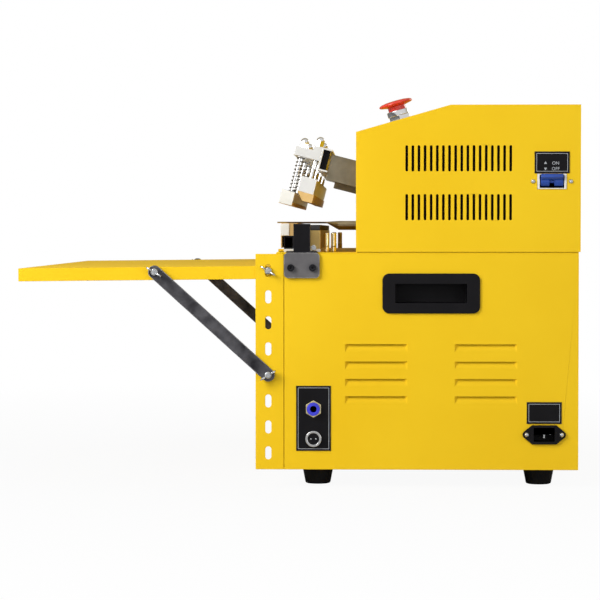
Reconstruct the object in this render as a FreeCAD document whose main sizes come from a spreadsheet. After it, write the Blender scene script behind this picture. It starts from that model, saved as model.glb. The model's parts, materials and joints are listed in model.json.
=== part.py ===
"""Desktop impulse heat sealer with vacuum nozzles, in millimetres.

The front faces -Y, the operator's right is +X and Z is up. The origin is under the middle of the machine,
on the surface it stands on. The upper jaw is drawn closed in its own frame, about its shaft, and then
swung open to its rest position.
"""

import FreeCAD, Part
import math
import os
import re

import Sketcher

SIZES = {
    # Base cabinet
    "body_width": 680,
    "base_depth": 340,
    "base_height": 250,
    "foot_height": 20,
    "foot_radius": 17.5,
    "foot_tip_radius": 14,
    "foot_in_side": 45,
    "foot_in_front": 40,
    "foot_in_rear": 46,
    "sheet_wall": 1.5,
    "seam_gap": 0.6,
    "deck_nose": 7.3,
    "deck_bead": 2.5,
    # Slotted flanges of the front panel
    "flange_depth": 31,
    "slot_width": 7,
    "slot_height": 15,
    "slot_pitch": 30,
    "first_slot_drop": 21,
    "pivot_setback": 14.7,
    # Upper cabinet
    "upper_overhang": 2,
    "upper_setback": 84.5,
    "upper_height": 169.5,
    "upper_face": 138.5,
    "upper_run": 108.7,
    "vent_width": 3,
    "vent_height": 30,
    "vent_pitch": 7,
    "vent_front": 58.3,
    "vent_low": 52,
    "vent_rise": 56,
    # Recessed carry handles
    "handle_back": 169,
    "handle_drop": 47,
    "handle_width": 112,
    "handle_height": 46,
    "handle_corner": 8,
    "handle_proud": 2.5,
    "grip_width": 82,
    "grip_height": 22,
    "grip_depth": 26,
    "grip_wall": 2,
    # Pressed louvres
    "louvre_back": 106,
    "louvre_spacing": 126,
    "louvre_drop": 105.5,
    "louvre_length": 74,
    "louvre_height": 11,
    "louvre_pitch": 20,
    "louvre_bulge": 3.5,
    "louvre_skin": 1.2,
    "louvre_slant": 5,
    # Label plates
    "plate_thick": 0.8,
    "plate_width": 40,
    "plate_height": 25,
    "gas_plate_height": 75,
    "gas_plate_in": 35.8,
    "gas_plate_up": 21.6,
    # Gas fitting and pedal socket
    "gas_up": 48.5,
    "gas_hex_radius": 10,
    "gas_hex_height": 4,
    "gas_thread_radius": 6.5,
    "gas_tail": 18,
    "hose_radius": 4,
    "collet_radius": 8,
    "collet_rim": 2.5,
    "collet_sleeve": 5.5,
    "collet_travel": 1.5,
    "collet_depth": 9,
    "pedal_up": 14,
    "pedal_radius": 9.25,
    "pedal_proud": 4.5,
    "pedal_bore": 6.6,
    "pedal_thread": 7.8,
    "pedal_tail": 14,
    "pedal_recess": 1.5,
    "pedal_pin_radius": 0.9,
    "pedal_pin_length": 1.2,
    "pedal_pin_pitch": 5.7,
    # Mains inlet
    "inlet_back": 39.2,
    "inlet_up": 40.8,
    "inlet_flat": 28,
    "inlet_height": 22,
    "inlet_ear_radius": 4.7,
    "inlet_flange": 3,
    "inlet_screw_pitch": 40,
    "inlet_body_width": 28,
    "inlet_body_height": 20,
    "inlet_body_depth": 24,
    "inlet_mouth_width": 24,
    "inlet_mouth_height": 16,
    "inlet_mouth_depth": 17,
    "inlet_pin_length": 14,
    "inlet_pin_width": 4,
    "inlet_pin_thick": 2,
    "inlet_pin_pitch": 7,
    "inlet_plate_rise": 25,
    # Breaker
    "breaker_back": 33,
    "breaker_up": 81.5,
    "breaker_width": 34,
    "breaker_height": 18,
    "breaker_proud": 1,
    "breaker_deep": 58,
    "breaker_tall": 78,
    "breaker_mouth_width": 28,
    "breaker_mouth_height": 15,
    "breaker_mouth_depth": 11,
    "breaker_screw_pitch": 43.4,
    "breaker_plate_rise": 21.8,
    "toggle_width": 26,
    "toggle_thick": 5,
    "toggle_reach": 12,
    "toggle_tilt": 35,
    "toggle_hub": 4,
    "toggle_inset": 5,
    # Panel screws
    "panel_screw_radius": 1.5,
    "panel_screw_head": 2.9,
    "panel_screw_head_height": 1.8,
    "panel_screw_length": 9,
    # Emergency stop on the slope
    "estop_in": 60,
    "estop_along": 54,
    "estop_collar_radius": 13.5,
    "estop_collar_height": 7,
    "estop_neck_radius": 10.5,
    "estop_neck_floor": 1,
    "estop_travel": 4,
    "estop_stand": 17.7,
    "estop_head_radius": 20,
    "estop_head_height": 7,
    "estop_head_round": 4.5,
    "estop_thread_radius": 11,
    "estop_thread_length": 22,
    "estop_stem_radius": 6,
    "estop_block_width": 30,
    "estop_block_height": 24,
    # Control panel on the slope
    "panel_width": 260,
    "panel_along": 24,
    "panel_length": 64,
    "panel_thick": 1,
    # Upper jaw, drawn closed about its shaft
    "jaw_setback": 50.6,
    "jaw_rise": 83.2,
    "jaw_open": 14.5,
    "jaw_end_gap": 30,
    "shaft_radius": 8,
    "bearing_thick": 20,
    "bearing_depth": 50,
    "bearing_crown": 18,
    "bearing_gap": 1,
    "arm_in": 10,
    "arm_thick": 8,
    "arm_height": 30,
    "arm_sink": 5,
    "arm_tail": 60,
    "tie_radius": 6,
    "channel_back": 84,
    "channel_depth": 12,
    "channel_top": 15,
    "channel_height": 27,
    "channel_wall": 2,
    "carrier_depth": 31,
    "carrier_base": 1.5,
    "carrier_thick": 10.5,
    "rib_depth": 10,
    "rod_reach": 118.5,
    "rod_radius": 3,
    "rod_outer_in": 25,
    "rod_inner_x": 95,
    "nut_radius": 5.5,
    "nut_height": 7,
    "washer_radius": 6,
    "washer_thick": 1,
    "spring_wire": 1,
    "spring_radius": 4.1,
    "clamp_drop": 60,
    "clamp_front": 130,
    "clamp_depth": 16,
    "clamp_height": 16.5,
    "clamp_pad_thick": 4.5,
    "clamp_travel": 11,
    "seal_reach": 98,
    "seal_front": 112,
    "seal_depth": 19,
    "seal_top": 23,
    "seal_height": 18,
    "nose_width": 11,
    "nose_height": 9,
    "seal_bolt_reach": 101,
    "band_width": 8,
    "band_thick": 0.5,
    "cloth_thick": 0.5,
    "contact_gap": 0.3,
    # Jaw cylinders
    "cylinder_x": 200,
    "cylinder_radius": 20,
    "cylinder_length": 110,
    "piston_radius": 6,
    "piston_rest": 12,
    "eye_width": 20,
    "eye_wall": 7,
    "eye_play": 0.4,
    # Lower jaw
    "lower_base_thick": 4,
    "rail_lead": 3.5,
    "rail_width": 11.5,
    "rail_height": 15,
    "rail_wall": 1.5,
    "lower_clamp_reach": 138,
    "lower_clamp_depth": 19,
    "lower_lip": 1.5,
    "lower_lip_drop": 14,
    "seal_rail_width": 12,
    "strip_height": 6.5,
    "strip_width": 11,
    # Stop brackets at both ends of the lower jaw
    "bracket_in": 0.3,
    "bracket_width": 41,
    "bracket_height": 29.4,
    "bracket_thick": 4,
    "bracket_corner": 5,
    "bracket_screw_pitch": 25,
    "bracket_screw_drop": 17.5,
    "bracket_screw_radius": 2.5,
    "bracket_screw_head": 4.2,
    "bracket_screw_head_height": 4,
    "bracket_screw_length": 14,
    "stop_width": 19,
    "stop_height": 33,
    "stop_inset": 18,
    "stop_foot_width": 36,
    "stop_foot_thick": 1.6,
    # Heater terminals
    "terminal_in": 12,
    "terminal_reach": 81,
    "terminal_pitch": 8,
    "terminal_radius": 3.7,
    "terminal_stud_radius": 3,
    "terminal_base": 7,
    "terminal_height": 22.5,
    # Vacuum nozzles and their carriage
    "nozzle_x": 90,
    "blade_reach": 142.5,
    "blade_length": 54,
    "blade_width": 17,
    "blade_thick": 1.8,
    "blade_gap": 0.5,
    "nozzle_cone": 15,
    "nozzle_radius": 5.65,
    "nozzle_drop": 3.8,
    "nozzle_travel": 62,
    "nozzle_mouth_gap": 3,
    "carriage_back": 27,
    "carriage_thick": 12,
    "carriage_wall": 8,
    "rail_x": 120,
    "rail_radius": 5,
    "rail_spare": 10,
    "rail_bracket_thick": 8,
    "nozzle_cylinder_radius": 13,
    "nozzle_piston_radius": 4,
    # Table and braces
    "table_reach": 289.2,
    "table_tail": 8,
    "table_sheet": 1.5,
    "table_apron": 15,
    "table_gap": 1,
    "table_tilt": 0.6,
    "table_pivot_drop": 5.5,
    "brace_span": 131,
    "brace_slot_drop": 120,
    "brace_width": 15,
    "brace_thick": 2.5,
    "brace_gap": 0.4,
    "wing_screw_radius": 3,
    "wing_shoulder": 5,
    "wing_screw_head_height": 3.5,
    "wing_hub_radius": 4.8,
    "wing_hub_height": 5,
    "wing_radius": 4,
    "wing_thick": 1.8,
    "wing_spread": 6.5,
    "wing_lift": 5.5,
    "wing_angle": 32,
    "wing_tip": 1.5,
    # Parts inside the base
    "core_width": 110,
    "core_depth": 60,
    "core_height": 95,
    "core_leg": 18,
    "coil_depth": 92,
    "pump_radius": 45,
    "pump_length": 170,
    "pump_foot": 14,
    "board_width": 180,
    "board_depth": 120,
    "board_thick": 1.6,
    "board_stand": 10,
    "inner_gap": 10,
    # Fits
    "running_fit": 0.05,
    "play_gap": 0.3,
    "window_gap": 0.3,
}

SLOT_COUNT = 8
VENT_COUNT = 18
LOUVRE_COUNT = 4
SPRING_TURNS = 10
STEPS_PER_TURN = 4
LEAD_WIRES = 2.5
HEX_SIDES = 6
EAR_TURN = 30

X_AXIS = FreeCAD.Vector(1, 0, 0)
BACKWARD_X = FreeCAD.Vector(-1, 0, 0)

# Places in the machine's frame, as formulas of the sizes
DEPTH = "(table_reach - pivot_setback + flange_depth + base_depth + upper_overhang)"
PIVOT_Y = f"(table_reach - {DEPTH} / 2)"
BASE_FRONT = f"({PIVOT_Y} - pivot_setback + flange_depth)"
BASE_REAR = f"({BASE_FRONT} + base_depth)"
FLOOR = "foot_height"
DECK = "(foot_height + base_height)"
UNDER_DECK = f"({DECK} - sheet_wall)"
SIDE = "(body_width / 2)"
INNER = f"({SIDE} - sheet_wall)"
PIVOT_Z = f"({DECK} - first_slot_drop)"
UPPER_REAR = f"({BASE_REAR} + upper_overhang)"
UPPER_FRONT = f"({BASE_FRONT} + upper_setback)"
UPPER_TOP = f"({DECK} + upper_height)"
SLOPE_TAN = "((upper_height - upper_face) / upper_run)"
SLOPE_ANGLE = "atan2(upper_height - upper_face; upper_run)"
JAW_Y = f"({UPPER_FRONT} + jaw_setback)"
JAW_Z = f"({DECK} + jaw_rise)"
JAW_END = f"({SIDE} - jaw_end_gap)"
ARM_OUT = f"({JAW_END} - arm_in)"
ROD_OUTER = f"({JAW_END} - rod_outer_in)"
CARRIER_BACK = "(channel_back + channel_depth)"
CARRIER_TOP = "(carrier_thick - carrier_base)"
CLAMP_TOP = "(clamp_drop - clamp_height)"
NOSE_BOTTOM = "(seal_top + seal_height + nose_height)"
COVER_BOTTOM = f"({NOSE_BOTTOM} + band_thick + cloth_thick)"
LOWER_CLAMP_TOP = f"({JAW_Z} - clamp_drop + clamp_travel - contact_gap)"
STRIP_TOP = f"({JAW_Z} - {COVER_BOTTOM} - contact_gap)"
RAIL_TOP = f"({DECK} + lower_base_thick + rail_height)"
BRACKET_Y = f"({BASE_FRONT} + sheet_wall + bracket_in + bracket_width / 2)"
BLADE_Z = f"({LOWER_CLAMP_TOP} + blade_gap + blade_thick / 2)"
NOZZLE_Z = f"({BLADE_Z} - nozzle_drop)"
CARRIAGE_Y = f"({JAW_Y} + carriage_back)"
RAIL_END = f"({CARRIAGE_Y} + carriage_thick + nozzle_travel + rail_spare)"
PISTON_Y = f"({JAW_Y} + arm_tail * (1 + cos(jaw_open)) / 2)"
EYE_Z = f"({JAW_Z} - arm_tail * sin(jaw_open))"
BREAKER_Y = f"({UPPER_REAR} - breaker_back)"
BREAKER_Z = f"({DECK} + breaker_up)"
INLET_Y = f"({BASE_REAR} - inlet_back)"
INLET_Z = f"({FLOOR} + inlet_up)"
GAS_Y = f"({BASE_FRONT} + gas_plate_in)"
GAS_PLATE_Z = f"({FLOOR} + gas_plate_up)"
GAS_Z = f"({GAS_PLATE_Z} + gas_up)"
PEDAL_Z = f"({GAS_PLATE_Z} + pedal_up)"
PLATE_FACE = f"({SIDE} + plate_thick)"
HANDLE_Y = f"({BASE_REAR} - handle_back)"
HANDLE_Z = f"({DECK} - handle_drop)"
APRON = f"({INNER} - table_gap)"
BRACE_FACE = f"({SIDE} + brace_gap)"
BRACE_OUTER = f"({BRACE_FACE} + brace_thick)"
BRACE_TOP_Y = f"({PIVOT_Y} - brace_span * cos(table_tilt))"
BRACE_TOP_Z = f"({PIVOT_Z} - brace_span * sin(table_tilt))"
BRACE_RUN = "(brace_span * cos(table_tilt))"
BRACE_FALL = "(brace_slot_drop - brace_span * sin(table_tilt))"
BRACE_LENGTH = f"sqrt({BRACE_RUN} ^ 2 + {BRACE_FALL} ^ 2)"
BRACE_ANGLE = f"atan2({BRACE_FALL}; {BRACE_RUN})"

ALIAS = re.compile(r"[a-z]+(?:_[a-z0-9]+)+")

doc = FreeCAD.newDocument("impulse_sealer")
sheet = doc.addObject("Spreadsheet::Sheet", "Sizes")
nodes = []


def fill_sheet():
    """Write the driving sizes into the sheet, each with its alias."""
    for row, (alias, value) in enumerate(SIZES.items(), start=1):
        sheet.set(f"A{row}", alias)
        sheet.set(f"B{row}", str(value))
        sheet.setAlias(f"B{row}", alias)
    doc.recompute()


def bind(item, prop, formula):
    """Tie a property to a formula of the sheet's sizes."""
    item.setExpression(prop, ALIAS.sub(lambda word: "Sizes." + word.group(0), formula))


def place(item, x="0", y="0", z="0"):
    """Tie an object's place to three formulas."""
    for axis, formula in zip("xyz", (x, y, z)):
        bind(item, f"Placement.Base.{axis}", formula)
    return item


def turn(item, axis, angle):
    """Turn an object about an axis through its own origin by a formula in degrees."""
    item.Placement = FreeCAD.Placement(item.Placement.Base, FreeCAD.Rotation(axis, 1))
    bind(item, "Placement.Rotation.Angle", angle)
    return item


def node(label, item):
    """Name a finished sub-part and keep it for export."""
    item.Label = label
    nodes.append(item)
    return item


def box(low, high):
    """Block between two corners."""
    item = doc.addObject("Part::Box", "Block")
    for prop, start, end in zip(("Length", "Width", "Height"), low, high):
        bind(item, prop, f"({end}) - ({start})")
    return place(item, *low)


def centred(middle, spans):
    """Block of three spans about a middle point."""
    low = [f"({at}) - ({span}) / 2" for at, span in zip(middle, spans)]
    high = [f"({at}) + ({span}) / 2" for at, span in zip(middle, spans)]
    return box(low, high)


def aim(item, axis):
    """Point an object that is drawn along Z along another axis."""
    if axis == "x":
        item.Placement = FreeCAD.Placement(FreeCAD.Vector(), FreeCAD.Rotation(FreeCAD.Vector(0, 1, 0), 90))
    if axis == "y":
        item.Placement = FreeCAD.Placement(FreeCAD.Vector(), FreeCAD.Rotation(X_AXIS, -90))
    return item


def span_place(item, axis, middle, start):
    """Place an axial object: two middle coordinates across, and its start along the axis."""
    across = list(middle)
    across.insert("xyz".index(axis), start)
    return place(item, *across)


def rod(axis, middle, start, end, radius):
    """Round bar along an axis between two places."""
    item = aim(doc.addObject("Part::Cylinder", "Bar"), axis)
    bind(item, "Radius", radius)
    bind(item, "Height", f"({end}) - ({start})")
    return span_place(item, axis, middle, start)


def cone(axis, middle, start, end, start_radius, end_radius):
    """Tapered round bar along an axis."""
    item = aim(doc.addObject("Part::Cone", "Taper"), axis)
    bind(item, "Radius1", start_radius)
    bind(item, "Radius2", end_radius)
    bind(item, "Height", f"({end}) - ({start})")
    return span_place(item, axis, middle, start)


def hexagon(axis, middle, start, end, corner_radius):
    """Six sided bar along an axis."""
    item = aim(doc.addObject("Part::Prism", "Hexagon"), axis)
    item.Polygon = HEX_SIDES
    bind(item, "Circumradius", corner_radius)
    bind(item, "Height", f"({end}) - ({start})")
    return span_place(item, axis, middle, start)


def group(items):
    """Separate solids kept side by side."""
    item = doc.addObject("Part::Compound", "Group")
    item.Links = items
    return item


def fuse(*items):
    """Solids joined into one."""
    item = doc.addObject("Part::MultiFuse", "Joined")
    item.Shapes = list(items)
    item.Refine = True
    return item


def cut(base, *tools):
    """A solid less one or more others."""
    for tool in tools:
        item = doc.addObject("Part::Cut", "Cut")
        item.Base = base
        item.Tool = tool
        item.Refine = True
        base = item
    return base


def mirrored(source):
    """Copy of an object on the machine's other side."""
    item = doc.addObject("Part::Mirroring", "OtherSide")
    item.Source = source
    item.Normal = X_AXIS
    return item


def pair(item):
    """An object and its copy on the other side."""
    return group([item, mirrored(item)])


def rounded(middle, spans, radius, along):
    """Block about a middle point with its edges along one axis rounded."""
    body = doc.addObject("PartDesign::Body", "RoundedBlock")
    block = body.newObject("PartDesign::AdditiveBox", "Solid")
    for prop, span in zip(("Length", "Width", "Height"), spans):
        bind(block, prop, span)
    doc.recompute()
    fillet = body.newObject("PartDesign::Fillet", "Corners")
    fillet.Base = (block, edges_along(block, along))
    bind(fillet, "Radius", radius)
    return place(body, *[f"({at}) - ({span}) / 2" for at, span in zip(middle, spans)])


def edges_along(feature, axis):
    """Names of a feature's straight edges that run along an axis."""
    index = "xyz".index(axis)
    names = []
    for number, edge in enumerate(feature.Shape.Edges, start=1):
        direction = edge.tangentAt(edge.FirstParameter)
        if abs(direction[index]) > 0.999:
            names.append(f"Edge{number}")
    return names


def profile(points, start, end):
    """Side outline of (y, z) formulas, padded across the machine from start to end."""
    body = doc.addObject("PartDesign::Body", "Profile")
    sketch = body.newObject("Sketcher::SketchObject", "Outline")
    plane = [feature for feature in body.Origin.OriginFeatures if feature.Role == "YZ_Plane"][0]
    sketch.AttachmentSupport = (plane, [""])
    sketch.MapMode = "FlatFace"
    count = len(points)
    ring = [math.tau * corner / count for corner in range(count)]
    draft = [FreeCAD.Vector(math.cos(angle), math.sin(angle), 0) for angle in ring]
    for corner in range(count):
        sketch.addGeometry(Part.LineSegment(draft[corner], draft[(corner + 1) % count]))
    for corner in range(count):
        sketch.addConstraint(Sketcher.Constraint("Coincident", corner, 2, (corner + 1) % count, 1))
    for corner, formulas in enumerate(points):
        for axis, formula, value in zip("XY", formulas, draft[corner]):
            number = sketch.addConstraint(Sketcher.Constraint(f"Distance{axis}", -1, 1, corner, 1, value))
            sketch.renameConstraint(number, f"corner{corner}{axis}")
            bind(sketch, f"Constraints.corner{corner}{axis}", formula)
    pad = body.newObject("PartDesign::Pad", "Pad")
    pad.Profile = sketch
    bind(pad, "Length", f"({end}) - ({start})")
    return place(body, x=start)


def through_sides(middle, spans):
    """Block that passes through both side walls, as a cutting tool."""
    return box(
        (f"-{SIDE} - sheet_wall", f"({middle[0]}) - ({spans[0]}) / 2", f"({middle[1]}) - ({spans[1]}) / 2"),
        (f"{SIDE} + sheet_wall", f"({middle[0]}) + ({spans[0]}) / 2", f"({middle[1]}) + ({spans[1]}) / 2"),
    )


def slot_through(middle, width, height):
    """Upright slot with round ends through both side walls, as a cutting tool."""
    straight = f"({height} - {width})"
    ends = [rod("x", (middle[0], f"{middle[1]} + {way} * {straight} / 2"), f"-{SIDE} - sheet_wall",
                f"{SIDE} + sheet_wall", f"{width} / 2") for way in (-1, 1)]
    return fuse(through_sides(middle, (width, straight)), *ends)


def right_hole(middle, radius):
    """Round hole through the right side wall, as a cutting tool."""
    return rod("x", middle, f"{INNER} - sheet_wall", f"{SIDE} + sheet_wall", radius)


def screw_places():
    """Places of the screws that hold a stop bracket, as (y, z) formulas."""
    height = f"{DECK} - bracket_screw_drop"
    return [(f"{BRACKET_Y} + {way} * bracket_screw_pitch / 2", height) for way in (-1, 1)]


def louvre_shapes(centre_y, top_z):
    """One louvre pressed into the right side: its inward bulge and the hollow in front of it."""
    shapes = []
    for shift in ("0", "louvre_skin"):
        wedge = doc.addObject("Part::Wedge", "Louvre")
        bind(wedge, "Xmin", "-louvre_length / 2")
        bind(wedge, "Xmax", "louvre_length / 2")
        bind(wedge, "X2min", "-louvre_length / 2 + louvre_slant")
        bind(wedge, "X2max", "louvre_length / 2 - louvre_slant")
        bind(wedge, "Ymin", "-sheet_wall")
        bind(wedge, "Ymax", "louvre_bulge")
        bind(wedge, "Zmin", "-louvre_height")
        bind(wedge, "Zmax", "0")
        bind(wedge, "Z2min", "-louvre_skin")
        bind(wedge, "Z2max", "0")
        wedge.Placement = FreeCAD.Placement(
            FreeCAD.Vector(), FreeCAD.Rotation(FreeCAD.Vector(0, 0, 1), 90)
        )
        shapes.append(place(wedge, f"{INNER} + {shift}", centre_y, top_z))
    return shapes


def base_shell():
    """Floor and both sides, with the pressed louvres and all side openings."""
    front = f"({BASE_FRONT} + sheet_wall)"
    outer = box((f"-{SIDE}", front, FLOOR), (SIDE, BASE_REAR, UNDER_DECK))
    inner = box((f"-{INNER}", f"{front} - sheet_wall", f"{FLOOR} + sheet_wall"),
                (INNER, f"{BASE_REAR} + sheet_wall", DECK))
    seam = box((f"-{SIDE} - sheet_wall", f"{front} - sheet_wall", f"{FLOOR} + sheet_wall"),
               (f"{SIDE} + sheet_wall", f"{front} + seam_gap", DECK))
    bulges = []
    hollows = []
    for column in range(2):
        for row in range(LOUVRE_COUNT):
            centre_y = f"{BASE_REAR} - louvre_back - {column} * louvre_spacing"
            top_z = f"{DECK} - louvre_drop - {row} * louvre_pitch"
            bulge, hollow = louvre_shapes(centre_y, top_z)
            bulges.append(bulge)
            hollows.append(hollow)
    shell = fuse(cut(outer, inner, seam), pair(group(bulges)))
    grips = through_sides((HANDLE_Y, HANDLE_Z), ("grip_width + 2 * grip_wall + 2 * window_gap",
                                                "grip_height + 2 * grip_wall + 2 * window_gap"))
    inlet = centred((SIDE, INLET_Y, INLET_Z), ("4 * sheet_wall", "inlet_body_width + 2 * window_gap",
                                               "inlet_body_height + 2 * window_gap"))
    holes = [right_hole((GAS_Y, GAS_Z), "gas_thread_radius + running_fit"),
             right_hole((GAS_Y, PEDAL_Z), "pedal_thread + running_fit")]
    for way in (-1, 1):
        holes.append(right_hole((f"{INLET_Y} + {way} * inlet_screw_pitch / 2", INLET_Z),
                                "panel_screw_radius + running_fit"))
    bracket_holes = pair(group([right_hole(at, "bracket_screw_radius + running_fit")
                                for at in screw_places()]))
    node("base_shell", cut(shell, pair(group(hollows)), grips, inlet, group(holes), bracket_holes))


def front_panel():
    """Front sheet with a slotted flange folded forward along each side."""
    web = box((f"-{SIDE}", BASE_FRONT, FLOOR), (SIDE, f"{BASE_FRONT} + sheet_wall", UNDER_DECK))
    flange = box((INNER, f"{BASE_FRONT} - flange_depth", FLOOR), (SIDE, BASE_FRONT, UNDER_DECK))
    slots = [slot_through((PIVOT_Y, f"{PIVOT_Z} - {row} * slot_pitch"), "slot_width", "slot_height")
             for row in range(SLOT_COUNT)]
    node("front_panel", cut(fuse(web, flange, mirrored(flange)), group(slots)))


def rear_panel():
    """Rear sheet of the base, between the sides."""
    node("rear_panel", box((f"-{INNER}", f"{BASE_REAR} - sheet_wall", f"{FLOOR} + sheet_wall"),
                           (INNER, BASE_REAR, UNDER_DECK)))


def deck_plate():
    """Top of the base, with a bead along its front edge and holes for the jaw cylinders' rods."""
    nose = f"({BASE_FRONT} - deck_nose)"
    sheet_metal = box((f"-{SIDE}", nose, UNDER_DECK), (SIDE, BASE_REAR, DECK))
    bead = rod("x", (f"{nose} + deck_bead", UNDER_DECK), f"-{SIDE}", SIDE, "deck_bead")
    below = box((f"-{SIDE} - sheet_wall", f"{nose} - deck_bead", f"{UNDER_DECK} - 2 * deck_bead"),
                (f"{SIDE} + sheet_wall", f"{nose} + 2 * deck_bead + sheet_wall", UNDER_DECK))
    holes = [rod("z", (f"{way} * cylinder_x", PISTON_Y), f"{UNDER_DECK} - sheet_wall",
                 f"{DECK} + sheet_wall", "piston_radius + window_gap") for way in (-1, 1)]
    node("deck_plate", cut(fuse(sheet_metal, cut(bead, below)), *holes))


def rubber_feet():
    """Four tapered feet under the floor."""
    feet = []
    for place_y in (f"{BASE_FRONT} + foot_in_front", f"{BASE_REAR} - foot_in_rear"):
        for way in (-1, 1):
            feet.append(cone("z", (f"{way} * ({SIDE} - foot_in_side)", place_y), "0", FLOOR,
                             "foot_tip_radius", "foot_radius"))
    node("rubber_feet", group(feet))


def carry_handles():
    """Recessed black handle cups, one in each side."""
    flange = rounded((f"{SIDE} + handle_proud / 2", HANDLE_Y, HANDLE_Z),
                     ("handle_proud", "handle_width", "handle_height"), "handle_corner", "x")
    cup = centred((f"{SIDE} - grip_depth / 2", HANDLE_Y, HANDLE_Z),
                  ("grip_depth", "grip_width + 2 * grip_wall", "grip_height + 2 * grip_wall"))
    hollow = box((f"{SIDE} - grip_depth + grip_wall", f"{HANDLE_Y} - grip_width / 2",
                  f"{HANDLE_Z} - grip_height / 2"),
                 (f"{SIDE} + 2 * handle_proud", f"{HANDLE_Y} + grip_width / 2",
                  f"{HANDLE_Z} + grip_height / 2"))
    node("carry_handles", pair(cut(fuse(flange, cup), hollow)))


def label_plates():
    """Bare plates by the gas and pedal sockets, the mains inlet and the breaker."""
    gas = box((SIDE, f"{GAS_Y} - plate_width / 2", GAS_PLATE_Z),
              (PLATE_FACE, f"{GAS_Y} + plate_width / 2", f"{GAS_PLATE_Z} + gas_plate_height"))
    holes = [rod("x", (GAS_Y, GAS_Z), INNER, f"{PLATE_FACE} + sheet_wall", "gas_thread_radius + running_fit"),
             rod("x", (GAS_Y, PEDAL_Z), INNER, f"{PLATE_FACE} + sheet_wall", "pedal_thread + running_fit")]
    small = []
    for middle in ((f"{SIDE} + plate_thick / 2", INLET_Y, f"{INLET_Z} + inlet_plate_rise"),
                   (f"{SIDE} + plate_thick / 2", BREAKER_Y, f"{BREAKER_Z} + breaker_plate_rise")):
        small.append(centred(middle, ("plate_thick", "plate_width", "plate_height")))
    node("label_plates", group([cut(gas, *holes)] + small))


def gas_fitting():
    """Brass push-in fitting and the collet that releases the hose."""
    face = f"({PLATE_FACE} + gas_hex_height)"
    tail = f"({PLATE_FACE} - gas_tail)"
    body = fuse(hexagon("x", (GAS_Y, GAS_Z), PLATE_FACE, face, "gas_hex_radius"),
                rod("x", (GAS_Y, GAS_Z), tail, face, "gas_thread_radius"))
    bore = rod("x", (GAS_Y, GAS_Z), f"{tail} - sheet_wall", f"{face} + sheet_wall", "hose_radius")
    seat = rod("x", (GAS_Y, GAS_Z), f"{face} - collet_depth - collet_travel - play_gap",
               f"{face} + sheet_wall", "collet_sleeve + running_fit")
    node("gas_fitting_body", cut(body, bore, seat))
    rim = f"({face} + collet_travel + play_gap)"
    collet = fuse(rod("x", (GAS_Y, GAS_Z), f"{face} - collet_depth", rim, "collet_sleeve"),
                  rod("x", (GAS_Y, GAS_Z), rim, f"{rim} + collet_rim", "collet_radius"))
    hose_way = rod("x", (GAS_Y, GAS_Z), tail, f"{rim} + 2 * collet_rim", "hose_radius")
    node("gas_fitting_collet", cut(collet, hose_way))


def pedal_socket():
    """Round two pin socket for the foot pedal."""
    face = f"({PLATE_FACE} + pedal_proud)"
    tail = f"({PLATE_FACE} - pedal_tail)"
    shell = fuse(rod("x", (GAS_Y, PEDAL_Z), PLATE_FACE, face, "pedal_radius"),
                 rod("x", (GAS_Y, PEDAL_Z), tail, face, "pedal_thread"))
    bore = rod("x", (GAS_Y, PEDAL_Z), f"{tail} - sheet_wall", f"{face} + sheet_wall", "pedal_bore")
    node("pedal_socket_shell", cut(shell, bore))
    node("pedal_socket_insert", rod("x", (GAS_Y, PEDAL_Z), tail, f"{face} - pedal_recess",
                                    "pedal_bore - running_fit"))


def contact_pins():
    """Pins of the pedal socket and of the mains inlet, each seated on its insulator."""
    pins = []
    insert = f"({PLATE_FACE} + pedal_proud - pedal_recess)"
    for way in (-1, 1):
        pins.append(rod("x", (f"{GAS_Y} + {way} * pedal_pin_pitch / 2", PEDAL_Z), insert,
                        f"{insert} + pedal_pin_length", "pedal_pin_radius"))
    root = f"({SIDE} + inlet_flange - inlet_mouth_depth)"
    for step in (-1, 0, 1):
        middle = (f"{root} + inlet_pin_length / 2", f"{INLET_Y} + {step} * inlet_pin_pitch",
                  f"{INLET_Z} + {abs(step)} * inlet_pin_width - inlet_pin_width / 2")
        pins.append(centred(middle, ("inlet_pin_length", "inlet_pin_thick", "inlet_pin_width")))
    node("contact_pins", group(pins))


def power_inlet():
    """Mains inlet with its screw flange."""
    face = f"({SIDE} + inlet_flange)"
    outline = [("inlet_flat / 2", "inlet_height / 2"),
               ("(inlet_screw_pitch + inlet_ear_radius) / 2", f"inlet_ear_radius * cos({EAR_TURN})")]
    outline += [(across, f"-{rise}") for across, rise in reversed(outline)]
    outline += [(f"-{across}", rise) for across, rise in reversed(outline)]
    plate = profile([(f"{INLET_Y} + {across}", f"{INLET_Z} + {rise}") for across, rise in outline],
                    SIDE, face)
    ears = [rod("x", (f"{INLET_Y} + {way} * inlet_screw_pitch / 2", INLET_Z), SIDE, face, "inlet_ear_radius")
            for way in (-1, 1)]
    body = centred((f"{SIDE} - inlet_body_depth / 2", INLET_Y, INLET_Z),
                   ("inlet_body_depth", "inlet_body_width", "inlet_body_height"))
    mouth = box((f"{face} - inlet_mouth_depth", f"{INLET_Y} - inlet_mouth_width / 2",
                 f"{INLET_Z} - inlet_mouth_height / 2"),
                (f"{face} + sheet_wall", f"{INLET_Y} + inlet_mouth_width / 2",
                 f"{INLET_Z} + inlet_mouth_height / 2"))
    holes = [rod("x", (f"{INLET_Y} + {way} * inlet_screw_pitch / 2", INLET_Z), INNER,
                 f"{face} + sheet_wall", "panel_screw_radius + running_fit") for way in (-1, 1)]
    node("power_inlet", cut(fuse(plate, *ears, body), mouth, *holes))


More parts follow.
